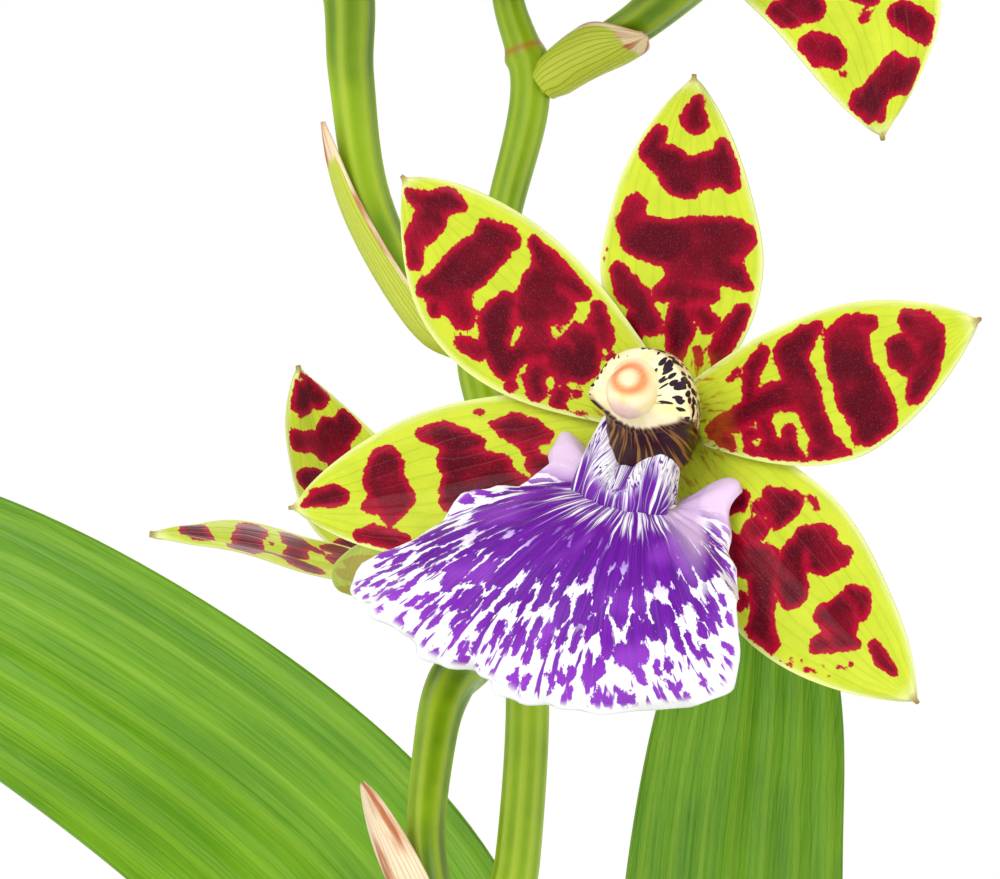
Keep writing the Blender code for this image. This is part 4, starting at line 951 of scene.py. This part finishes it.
shell = Shell()
count, *settings = spike["spikeTube"]
stemTube(shell, spline(spike["points"], count), *settings, spike["scars"])
count, *settings = spike["stalkTube"]
for bloom in blooms:
    stemTube(shell, stalkRows(bloom, count), *settings)
count, *settings = spike["budTube"]
for rows, _, _ in buds.values():
    stemTube(shell, spline(rows, count), *settings)
stemFinish = newMaterial("stem", stemLook, Roughness=0.36, Subsurface_Weight=0.08, Subsurface_Scale=0.002,
                         Specular_IOR_Level=0.3)
finishPiece("spikeAndStalks", "spike_stem", shell, stemFinish)


def bractSheet(rows, length, halfAngle, tilt, outward):
    # Round one side of a stalk: its angle about the stalk narrows to a point as it goes
    # up, and it leans away by the square of the way up
    curve = rows[:, :3]
    total = np.linalg.norm(np.diff(curve, axis=0), axis=1).sum()
    tangent = unit(np.gradient(curve, axis=0))
    outer = unit(np.cross(np.cross(tangent, outward), tangent))
    side = unit(np.cross(tangent, outer))
    u, v = grid(bract["rows"], bract["cols"])
    share = (bract["fromFoot"] + u * length) / total
    around = v * math.radians(halfAngle) * np.maximum((1.0 - u**2.2) ** 0.7, 0.06)
    seat = sample(rows[:, 3:], share)[..., 0] + bract["off"] + 0.45 * smoothStep(0.0, 0.2, u)
    ridges = bract["ridge"] * np.cos(v * 9.0 * math.pi) * u * (1.0 - u)
    rimWave = 0.25 * np.abs(v) ** 3 * wobble(6.0 * u, 2.0 * v, bract["seed"], 2)
    away = seat + length * math.tan(math.radians(tilt)) * u**2 + ridges + rimWave
    arm = np.cos(around)[..., None] * sample(outer, share) + np.sin(around)[..., None] * sample(side, share)
    return sample(curve, share) + away[..., None] * arm, u, v


def bractLook(tree):
    # Pale yellow green with close veins, thin and dry at its rim and its tip
    blade = stored(tree, "blade", output="Vector")
    lines = veins(blade, 17.0)
    patchy = noise(blade, (0.12, 0.4, 0.0), 3.0)
    dead = over((246, 224, 188), (ramp(patchy, 0.45, 0.65), burnt), (lines * 0.35, burnt))
    edge = ramp(stored(tree, "dry") + (patchy - 0.5) * 0.6, 0.4, 0.6)
    return {"Base Color": over((196, 206, 62), (lines * 0.6, bractVein), (edge, dead)),
            "Roughness": patchy * 0.25 + 0.36, "Normal": bump(patchy - lines, 0.45, 0.0002)}


bractFinish = newMaterial("bract", bractLook, Roughness=0.5, Subsurface_Weight=0.12, Subsurface_Scale=0.001)
for bloom, (length, halfAngle, tilt, outward, dryness) in bracts.items():
    points, u, v = bractSheet(stalkRows(bloom, bract["curveRows"]), length, halfAngle, tilt, outward)
    dry = smoothStep(0.78, 1.0, u) + 0.75 * smoothStep(0.7, 1.0, np.abs(v)) + dryness * smoothStep(0.1, 0.9, u)
    shell = Shell().add(*sheetShell(points, bract["thick"] * (1.0 - 0.6 * smoothStep(0.5, 1.0, np.abs(v)))),
                        blade=np.stack([u * length, v * 5.0, v], axis=-1), dry=np.clip(dry, 0.0, 1.0))
    finishPiece(f"{bloom}Bract", f"bract_{bloom}", shell, bractFinish)


def budLook(tree):
    # Green, paler between the sepals, with dull wine clouds that show through
    grain, patches = skin(objectCoords(tree), 1500.0, 160.0)
    colour = over(bractVein, (stored(tree, "rib"), stem), (ramp(patches, 0.54, 0.62, 0.0, 0.6), (120, 20, 50)))
    return {"Base Color": colour, "Normal": bump(grain, 0.25, 0.0002)}


def budGroove(angle, width):
    # One where two sepals meet, which is three times round the bud
    return bell(np.sin(1.5 * angle + 0.25), width)


def toAxis(points, base, heading):
    # Turns points that stand on Z so that they stand on a base along a heading
    side = unit(np.cross([0.0, 1.0, 0.0], heading))
    return base + points @ np.array([side, np.cross(heading, side), heading])


budFinish = newMaterial("bud", budLook, Roughness=0.4, Subsurface_Weight=0.12, Subsurface_Scale=0.002)
bud = {"rows": 60, "around": 66, "seat": 0.7}
for name, (rows, length, radius) in buds.items():
    share = np.linspace(0.0, 1.0, bud["rows"])
    swell = radius * np.sin(math.pi * (0.06 + 0.94 * share)) ** 0.72
    swell[0], swell[-1] = 0.0, 0.0
    points, faces = lathe(np.stack([swell, share * length], axis=-1), bud["around"],
                          lambda z, a: 1.0 + 0.05 * np.cos(3.0 * a + 0.5) - 0.05 * budGroove(a, 0.12))
    turn = np.tile(angles(bud["around"]), bud["rows"] - 2)
    start, end = np.array(rows[-2][:3]), np.array(rows[-1][:3])
    heading = unit(end - start)
    shell = Shell().add(toAxis(points, end - bud["seat"] * heading, heading), faces, rib=1.0 - budGroove(turn, 0.3))
    finishPiece(f"{name}Bud", f"bud_{name}", shell, budFinish)
print("spike, bracts and buds done")


# Leaves: top of the bulb that it stands on, points that the midrib passes, width, and the
# way that its upper face looks; None lets it follow its own arch
leaves = {
    "left_tall": ((0.5, 33.0, 149.3),
                  ((4.0, 56.0, 215.0), (-3.0, 72.0, 266.0), (-22.1, 82.0, 301.8), (-66.5, 90.0, 334.0),
                   (-105.0, 96.0, 347.0), (-140.0, 101.0, 343.0)), 37.0, (-0.25, -0.86, 0.45)),
    "right_tall": ((9.5, 31.0, 149.3),
                   ((19.0, 44.0, 210.0), (26.4, 56.0, 262.0), (29.2, 64.0, 303.0), (32.4, 69.0, 332.0),
                    (33.5, 73.0, 357.0)), 31.6, (0.35, -0.92, 0.15)),
    "back": ((5.5, 37.5, 149.3),
             ((9.0, 78.0, 202.0), (14.0, 115.0, 232.0), (17.0, 152.0, 240.0), (18.0, 186.0, 226.0)), 36.0, None),
    "left_low": ((-29.5, 6.0, 145.3),
                 ((-50.0, -8.0, 196.0), (-86.0, -18.0, 226.0), (-125.0, -28.0, 232.0),
                 (-160.0, -36.0, 214.0)), 35.0, None),
    "left_back": ((-24.0, 12.8, 145.3),
                  ((-42.0, 34.0, 206.0), (-68.0, 56.0, 248.0), (-100.0, 80.0, 268.0),
                  (-134.0, 102.0, 262.0)), 34.0, None),
    "right_low": ((39.0, 5.0, 147.3),
                  ((64.0, -5.0, 194.0), (101.0, -14.0, 224.0), (139.0, -24.0, 230.0),
                  (172.0, -33.0, 212.0)), 35.0, None),
    "right_back": ((34.5, 11.0, 147.3),
                   ((47.0, 40.0, 200.0), (70.0, 70.0, 238.0), (95.0, 101.0, 252.0), (118.0, 128.0, 242.0)), 34.0, None),
    "front": ((30.4, 2.8, 147.3),
              ((27.0, -34.0, 190.0), (30.0, -70.0, 214.0), (34.0, -108.0, 218.0), (37.0, -140.0, 200.0)), 33.0, None),
}
leaf = {"rows": 110, "cols": 49, "curveRows": 200, "seed": 500, "thick": 0.75, "foot": 0.24, "widest": 0.52,
        "sink": 2.6, "channel": 0.16, "footFold": 0.75, "wave": 1.0, "pleats": 3.5, "pleatDepth": 0.42}


def pleatAt(v):
    # A sharp wave across the blade, from 0 on a ridge to 1 in a furrow
    return np.abs(np.mod(np.abs(v) * leaf["pleats"] + 0.5, 1.0) - 0.5) * 2.0


def leafSheet(spec, seed):
    # A blade along the midrib's curve. Across it: a channel that is nearly folded at the
    # foot, pleats as sharp waves, and a rim that rises and falls along the blade
    foot, points, width, face = spec
    curve = spline([(*foot[:2], foot[2] - leaf["sink"]), *points], leaf["curveRows"])
    tangent = unit(np.gradient(curve, axis=0))
    if face is None:
        normal = np.cross(tangent, np.cross([0.0, 0.0, 1.0], tangent))
    else:
        normal = np.broadcast_to(np.array(face), tangent.shape)
    side = unit(np.cross(tangent, normal))
    upper = unit(np.cross(side, tangent))
    u, v = grid(leaf["rows"], leaf["cols"])
    half = bladeHalf(u, width, leaf["widest"], leaf["foot"], 1.0)
    folded = leaf["channel"] + leaf["footFold"] * (1.0 - smoothStep(0.0, 0.35, u))
    wave = leaf["wave"] * v**2 * np.sin(u * 5.0 * math.pi + 1.5 * v) * smoothStep(0.2, 0.5, u)
    wave = wave + 0.35 * np.abs(v) ** 3 * wobble(16.0 * u, 2.0 * v, seed, 2) * smoothStep(0.2, 0.4, u)
    pleat = leaf["pleatDepth"] * (pleatAt(v) ** 1.2 - 0.5) * np.minimum(half / 8.0, 1.0) * smoothStep(0.02, 0.2, u)
    keel = 0.7 * bell(v * half, 0.9) * smoothStep(0.1, 0.3, u) * (1.0 - 0.6 * u)
    rise = folded * half * np.abs(v) ** 1.4 + wave + pleat - keel
    return sample(curve, u) + (v * half)[..., None] * sample(side, u) + rise[..., None] * sample(upper, u), u, v, half


# The pale green serves both the paler fine veining and a painted highlight along the pleats
leafGreen, paleLeafAndHighlight, darkLeaf = (104, 160, 6), (152, 194, 46), (78, 136, 4)


def leafLook(tree):
    # Fresh green with close veins, a painted highlight as a pale stripe along each pleat,
    # a paler underside and a tip that dries out a little
    blade = stored(tree, "blade", output="Vector")
    front, pleat, dry = stored(tree, "front", "pleat", "dry")
    coarse = veins(blade, 26.0, 0.06)
    fine = noise(blade, (0.035, 2.6, 0.0), 3.0, 0.6)
    patchy = noise(blade, (0.05, 0.12, 0.0), 3.0)
    # The pleat mask lays the pale green on as a painted highlight along each pleat
    face = over(leafGreen, (ramp(patchy, 0.3, 0.7), darkLeaf), (ramp(fine, 0.35, 0.7, 0.0, 0.3), paleLeafAndHighlight),
                (pleat * 0.45, paleLeafAndHighlight), (coarse * 0.16, darkLeaf))
    rear = over((150, 184, 92), (ramp(fine, 0.35, 0.7, 0.0, 0.5), leafGreen))
    return {"Base Color": over(rear, (front, face), (dry, burnt)), "Roughness": fine * 0.25 + 0.22,
            "Normal": bump(fine * 0.6 - coarse * 0.5, 0.4, 0.0004)}


leafFinish = newMaterial("leaf", leafLook, Roughness=0.4, Subsurface_Weight=0.06, Subsurface_Scale=0.002,
                         Specular_IOR_Level=0.3)
for leafIndex, (name, spec) in enumerate(leaves.items()):
    points, u, v, half = leafSheet(spec, leaf["seed"] + leafIndex)
    length = np.linalg.norm(np.diff(np.array([spec[0], *spec[1]]), axis=0), axis=1).sum()
    shell = Shell().add(
        *sheetShell(points, leaf["thick"] * (1.0 - 0.5 * smoothStep(0.7, 1.0, np.abs(v)))),
        blade=np.stack([u * length, v * half, v], axis=-1),
        # Mask for a painted highlight: a pale stripe along each pleat
        pleat=(1.0 - pleatAt(v)) ** 3,
        front=np.repeat([1.0, 0.0], u.size),
        dry=0.9 * smoothStep(0.965, 0.995, u + 0.01 * wobble(v * 4.0, u, leaf["seed"] + 20 + leafIndex, 2)),
    )
    finishPiece(f"{name}Leaf", f"leaf_{name}", shell, leafFinish)
print("leaves done")


# Pseudobulbs: middle, radius, height
bulbs = {"back": ((5.0, 32.0), 15.0, 56.0), "left": ((-25.0, 8.0), 14.0, 52.0), "right": ((34.0, 6.0), 14.5, 54.0)}
bulb = {"foot": 92.3, "rows": 60, "around": 77, "rings": (0.24, 0.5, 0.76), "ribs": 11.0, "huskRows": 24,
        "huskCols": 84, "huskTurn": 0.93, "huskFoot": 0.10, "huskThick": 0.35}


def bulbRadius(radius, share):
    # A sine between 0.8 and 0.14 of a half turn, blunted by its power
    return radius * np.sin(math.pi * (0.80 - 0.66 * share)) ** 0.9


def bulbRibs(height, angle):
    # A cosine round the bulb that sways a little with the height
    return np.cos(bulb["ribs"] * angle + 0.6 * np.sin(height * 0.12))


def bulbShell(radius, height, seed):
    # An egg with a flat top, turned, with soft ribs that fade at both ends and rings
    # where its sheaths were
    share = np.linspace(0.0, 1.0, bulb["rows"])
    flatFoot = 0.03
    swell = np.where(share < flatFoot, radius * (0.5 + 0.05 * share / flatFoot), bulbRadius(radius, share))
    swell = swell + 0.35 * sum(bell(share - ring, 0.012) for ring in bulb["rings"])
    profile = np.vstack([[0.0, 0.0], np.stack([swell, share * height], axis=-1), [[4.0, height], [0.0, height - 0.4]]])

    def shape(z, a):
        fade = np.sin(math.pi * np.clip(z / height, 0.0, 1.0))
        return 1.0 + 0.035 * bulbRibs(z, a) * fade + 0.012 * np.cos(5.0 * a + seed)

    return lathe(profile, bulb["around"], shape)


def sheathSheet(radius, height, seed):
    # A dry sheath round the lower bulb: an open ring of a sheet with a torn, pointed rim
    u, v = crossed(np.linspace(0.0, 1.0, bulb["huskRows"]), np.linspace(0.0, 1.0, bulb["huskCols"]))
    turn = v * fullTurn * bulb["huskTurn"] + seed
    top = 0.5 + 0.16 * np.cos(2.0 * turn + seed) + 0.05 * wobble(6.0 * turn, 0.0 * u, seed)
    share = bulb["huskFoot"] + u * (top - bulb["huskFoot"])
    flare = 0.7 + 1.4 * u**3 + 0.25 * wobble(5.0 * turn, 8.0 * u, seed + 2, 2) * u
    swell = bulbRadius(radius, share) * 1.05 + flare
    return np.stack([swell * np.cos(turn), swell * np.sin(turn), share * height], axis=-1), u, turn


def bulbLook(tree):
    # Green between pale ribs, with a waxy grain; the sheath is straw with long fibres
    weft = stored(tree, "weft", output="Vector")
    rib, husk = stored(tree, "rib", "husk")
    grain, patches = skin(objectCoords(tree), 1100.0, 90.0)
    fibre = noise(weft, (9.0, 0.4, 0.0), 4.0, 0.65)
    straw = over((150, 114, 70), (ramp(fibre, 0.38, 0.66), (206, 182, 138)))
    colour = over((120, 146, 40), (ramp(patches, 0.35, 0.7), (92, 112, 30)), (rib * 0.5, (170, 184, 86)), (husk, straw))
    return {"Base Color": colour, "Roughness": husk * 0.35 + 0.34,
            "Normal": bump(grain * 0.4 + fibre * husk, 0.4, 0.0004)}


bulbFinish = newMaterial("pseudobulb", bulbLook, Roughness=0.42, Subsurface_Weight=0.05, Subsurface_Scale=0.002)
for bulbIndex, (name, (middle, radius, height)) in enumerate(bulbs.items()):
    seat = np.array([*middle, bulb["foot"]])
    points, faces = bulbShell(radius, height, bulbIndex)
    angle, level = np.arctan2(points[:, 1], points[:, 0]), points[:, 2]
    rib = (0.5 + 0.5 * bulbRibs(level, angle)) ** 2
    shell = Shell().add(points + seat, faces, rib=rib, husk=0.0, weft=np.stack([angle, level, 0.0 * angle], axis=-1))
    points, u, turn = sheathSheet(radius, height, 2.0 * bulbIndex + 1.0)
    shell.add(*sheetShell(points + seat, np.full(u.shape, bulb["huskThick"])), rib=0.0, husk=1.0,
              weft=np.stack([turn, u * 20.0, 0.0 * u], axis=-1))
    finishPiece(f"{name}Pseudobulb", f"pseudobulb_{name}", shell, bulbFinish)
print("pseudobulbs done")


# Bark: a bed turned about the pot's middle, with loose chips on it
bark = {"level": 104.0, "radius": 54.5, "chips": 330, "foot": 41.4, "floor": 6.3, "bedTop": 101.6, "chipRows": 5,
        "chipAround": 8, "seed": 11, "bulbRoom": 0.72, "spikePlace": (6.0, -6.0, 3.6)}


def chipShell(rng, place, size):
    # A chip: rings closed over a flattened, uneven block, turned at random
    rows, around = bark["chipRows"], bark["chipAround"]
    s, a = crossed(np.linspace(-1.0, 1.0, rows), angles(around))
    squareness = 1.0 / np.maximum(np.abs(np.cos(a)), np.abs(np.sin(a))) ** 0.95
    ring = squareness * np.array([0.55, 0.95, 1.0, 0.9, 0.5])[:, None] * (1.0 + 0.16 * rng.standard_normal(s.shape))
    block = np.stack([s + 0.1 * rng.standard_normal(s.shape), ring * np.cos(a) * 0.5, ring * np.sin(a) * 0.5], axis=-1)
    block = np.vstack([block.reshape(-1, 3), [[-1.08, 0.0, 0.0], [1.08, 0.0, 0.0]]]) * size
    turns = rng.uniform(0.0, fullTurn), rng.normal(0.0, 0.28), rng.normal(0.0, 0.3)
    (cy, sy), (cp, sp), (cr, sr) = ((math.cos(turn), math.sin(turn)) for turn in turns)
    yaw = np.array([[cy, -sy, 0.0], [sy, cy, 0.0], [0.0, 0.0, 1.0]])
    pitch = np.array([[cp, 0.0, sp], [0.0, 1.0, 0.0], [-sp, 0.0, cp]])
    roll = np.array([[1.0, 0.0, 0.0], [0.0, cr, -sr], [0.0, sr, cr]])
    return block @ (yaw @ pitch @ roll).T + place, ringFaces(rows, around)


def barkLook(tree):
    # Each chip has its own brown; layers run along it, with grey lumps
    coords = objectCoords(tree)
    layers = noise(coords, (260.0, 260.0, 900.0), 4.0, 0.65)
    lumps = noise(coords, 240.0, 4.0, 0.6)
    colour = over((58, 36, 22), (stored(tree, "tint"), (170, 124, 82)),
                  (ramp(layers, 0.35, 0.65, 0.0, 0.7), (112, 72, 44)), (ramp(lumps, 0.58, 0.75, 0.0, 0.5), (134,
                   116, 98)))
    return {"Base Color": colour, "Roughness": lumps * 0.2 + 0.72, "Normal": bump(layers + lumps, 0.7, 0.0008)}


rng = np.random.default_rng(bark["seed"])
edge, top = bark["radius"], bark["bedTop"]
points, faces = lathe(((0.0, bark["floor"]), (bark["foot"], bark["floor"]), (edge + 0.5, 98.0), (edge - 0.5, 101.0),
                       (30.0, top), (0.0, top)), 60)
shell = Shell().add(points, faces, tint=0.05)
stems = [(*middle, bark["bulbRoom"] * radius) for middle, radius, _ in bulbs.values()] + [bark["spikePlace"]]
chipTotal = 0
while chipTotal < bark["chips"]:
    spread, turn = edge * math.sqrt(rng.uniform(0.0, 1.0)), rng.uniform(0.0, fullTurn)
    size = np.array([rng.uniform(2.8, 6.2), rng.uniform(2.6, 5.2), rng.uniform(1.3, 3.0)])
    spread = min(spread, edge - size[0] * 0.8)
    x, y = spread * math.cos(turn), spread * math.sin(turn)
    if any(math.hypot(x - sx, y - sy) < sr + 0.55 * size[0] for sx, sy, sr in stems):
        continue
    points, faces = chipShell(rng, np.array([x, y, bark["level"] - 1.6 + rng.uniform(-1.2, 1.3)]), size)
    shell.add(points, faces, tint=rng.beta(1.6, 2.2))
    chipTotal += 1
finishPiece("barkMix", "bark_mix", shell, newMaterial("bark", barkLook, Roughness=0.85))
print("bark done")


# Pot: its outline as (radius, height), from inside to the foot
pot = {
    "outline": ((0.0, 6.0), (40.0, 6.0), (42.6, 6.6), (44.0, 12.0), (57.6, 99.0), (58.6, 104.0), (60.0, 112.5),
                (60.6, 115.2), (61.6, 116.0), (63.6, 116.0), (64.7, 115.2), (65.0, 113.6), (64.4, 102.4), (63.8, 100.9),
                (62.4, 100.4), (61.9, 99.6), (61.7, 98.0), (47.3, 2.2), (46.6, 0.8), (45.4, 0.1), (43.0, 0.0),
                (41.6, 0.7), (39.0, 1.6), (0.0, 1.6)),
    "around": 120, "step": 1.6, "bareTop": 3.4, "bareInner": 30.0,
}


def potProfile():
    # The outline's points joined by short straight runs, so that its rounds stay small
    marks = np.array(pot["outline"])
    runs = [marks[:1]]
    for first, last in zip(marks, marks[1:]):
        count = max(2, int(np.linalg.norm(last - first) / pot["step"]))
        runs.append(first + (last - first) * np.linspace(0.0, 1.0, count + 1)[1:, None])
    return np.vstack(runs)


def potLook(tree):
    # Matt pale glaze: a warm grey white with faint turning lines, small iron specks and
    # bare clay on the foot
    coords, bare = objectCoords(tree), stored(tree, "bare")
    lines = noise(coords, (4.0, 4.0, 420.0), 3.0)
    clouds = noise(coords, 22.0, 4.0)
    specks = ramp(noise(coords, 140.0), 0.55, 0.8, 0.0, 0.16) - cells(coords, 330.0, dimensions="3D")
    colour = over((228, 224, 214), (ramp(clouds, 0.3, 0.7), (221, 216, 205)),
                  (ramp(lines, 0.4, 0.7, 0.0, 0.14), (200, 193, 180)),
                  (ramp(specks, 0.0, 0.02, 0.0, 0.7), (120, 92, 66)), (bare, (188, 150, 118)))
    return {"Base Color": colour, "Roughness": clouds * 0.2 + bare * 0.35 + 0.34,
            "Normal": bump(lines + clouds * 0.5, 0.3, 0.0004)}


points, faces = lathe(potProfile(), pot["around"],
                      lambda z, a: 1.0 + 0.0012 * np.sin(z * 0.45) + 0.0008 * np.cos(2.0 * a))
x, y, z = points.T
bare = smoothStep(pot["bareTop"], pot["bareTop"] - 1.0, z + 0.5 * wobble(x * 0.3, y * 0.3, 77, 2))
shell = Shell().add(points, faces, bare=bare * (np.hypot(x, y) > pot["bareInner"]))
finishPiece("pottedRim", "pot", shell, newMaterial("pot", potLook, Roughness=0.5, Coat_Weight=0.1))
print("pot done")


# Floor, light and camera, in metres
stage = {
    "floorHalf": 3.0, "floorPoints": 25, "floorDrop": -0.0005, "glow": 0.42, "aim": (0.0, 0.0, 0.3),
    "worldLight": 0.70, "worldSeen": 0.32, "lens": 180.0, "sensor": 36.0, "camera": (0.0, -0.577, 0.36),
    # place, size, power
    "keyLamp": ((-0.55, -1.0, 1.05), 0.8, 9.0),
    "fillLamp": ((0.9, -0.7, 0.55), 0.9, 2.0),
    "rearLamp": ((0.25, 0.9, 0.95), 0.8, 4.0),
}


def floorLook(tree):
    # Pale, and lit from within far out, so that its edge doesn't show against the world
    coords = objectCoords(tree)
    far = Wire(addNode(tree, "ShaderNodeVectorMath", {0: coords}, operation="LENGTH").outputs["Value"])
    return {"Base Color": over((244, 244, 242), (noise(coords, 6.0), (250, 250, 249))),
            "Emission Color": ramp(far, 0.45, 1.5, 0.0, stage["glow"])}


across = np.linspace(-stage["floorHalf"], stage["floorHalf"], stage["floorPoints"])
x, y = np.meshgrid(across, across)
floorMesh = bpy.data.meshes.new("floor")
floorMesh.from_pydata(np.stack([x, y, np.full(x.shape, stage["floorDrop"])], axis=-1).reshape(-1, 3).tolist(), [],
                      gridFaces(*x.shape).tolist())
floorMesh.materials.append(newMaterial("floor", floorLook, Roughness=0.7, Emission_Strength=1.0))
floor = addObject("floor", floorMesh)

for name in ("keyLamp", "fillLamp", "rearLamp"):
    place, size, power = stage[name]
    light = bpy.data.lights.new(name, "AREA")
    light.shape, light.size, light.energy = "DISK", size, power
    lamp = addObject(name, light)
    lamp.location = place
    aim = unit(np.array(stage["aim"]) - np.array(place))
    lamp.rotation_euler = (math.acos(-aim[2]), 0.0, math.atan2(aim[1], aim[0]) - math.pi / 2)

scene.world = bpy.data.worlds.new("studio")
scene.world.use_nodes = True
tree = scene.world.node_tree
backdrop = tree.nodes["Background"]
backdrop.inputs["Color"].default_value = (1.0, 1.0, 1.0, 1.0)
seen = Wire(addNode(tree, "ShaderNodeLightPath", {}).outputs["Is Camera Ray"])
tree.links.new((seen * stage["worldSeen"] + stage["worldLight"]).socket, backdrop.inputs["Strength"])
scene.view_settings.view_transform = "Standard"

cameraData = bpy.data.cameras.new("camera")
cameraData.lens, cameraData.sensor_width = stage["lens"], stage["sensor"]
camera = addObject("camera", cameraData)
camera.location = stage["camera"]
camera.rotation_euler = (math.pi / 2, 0.0, 0.0)
bpy.context.scene.camera = camera
print("stage done")
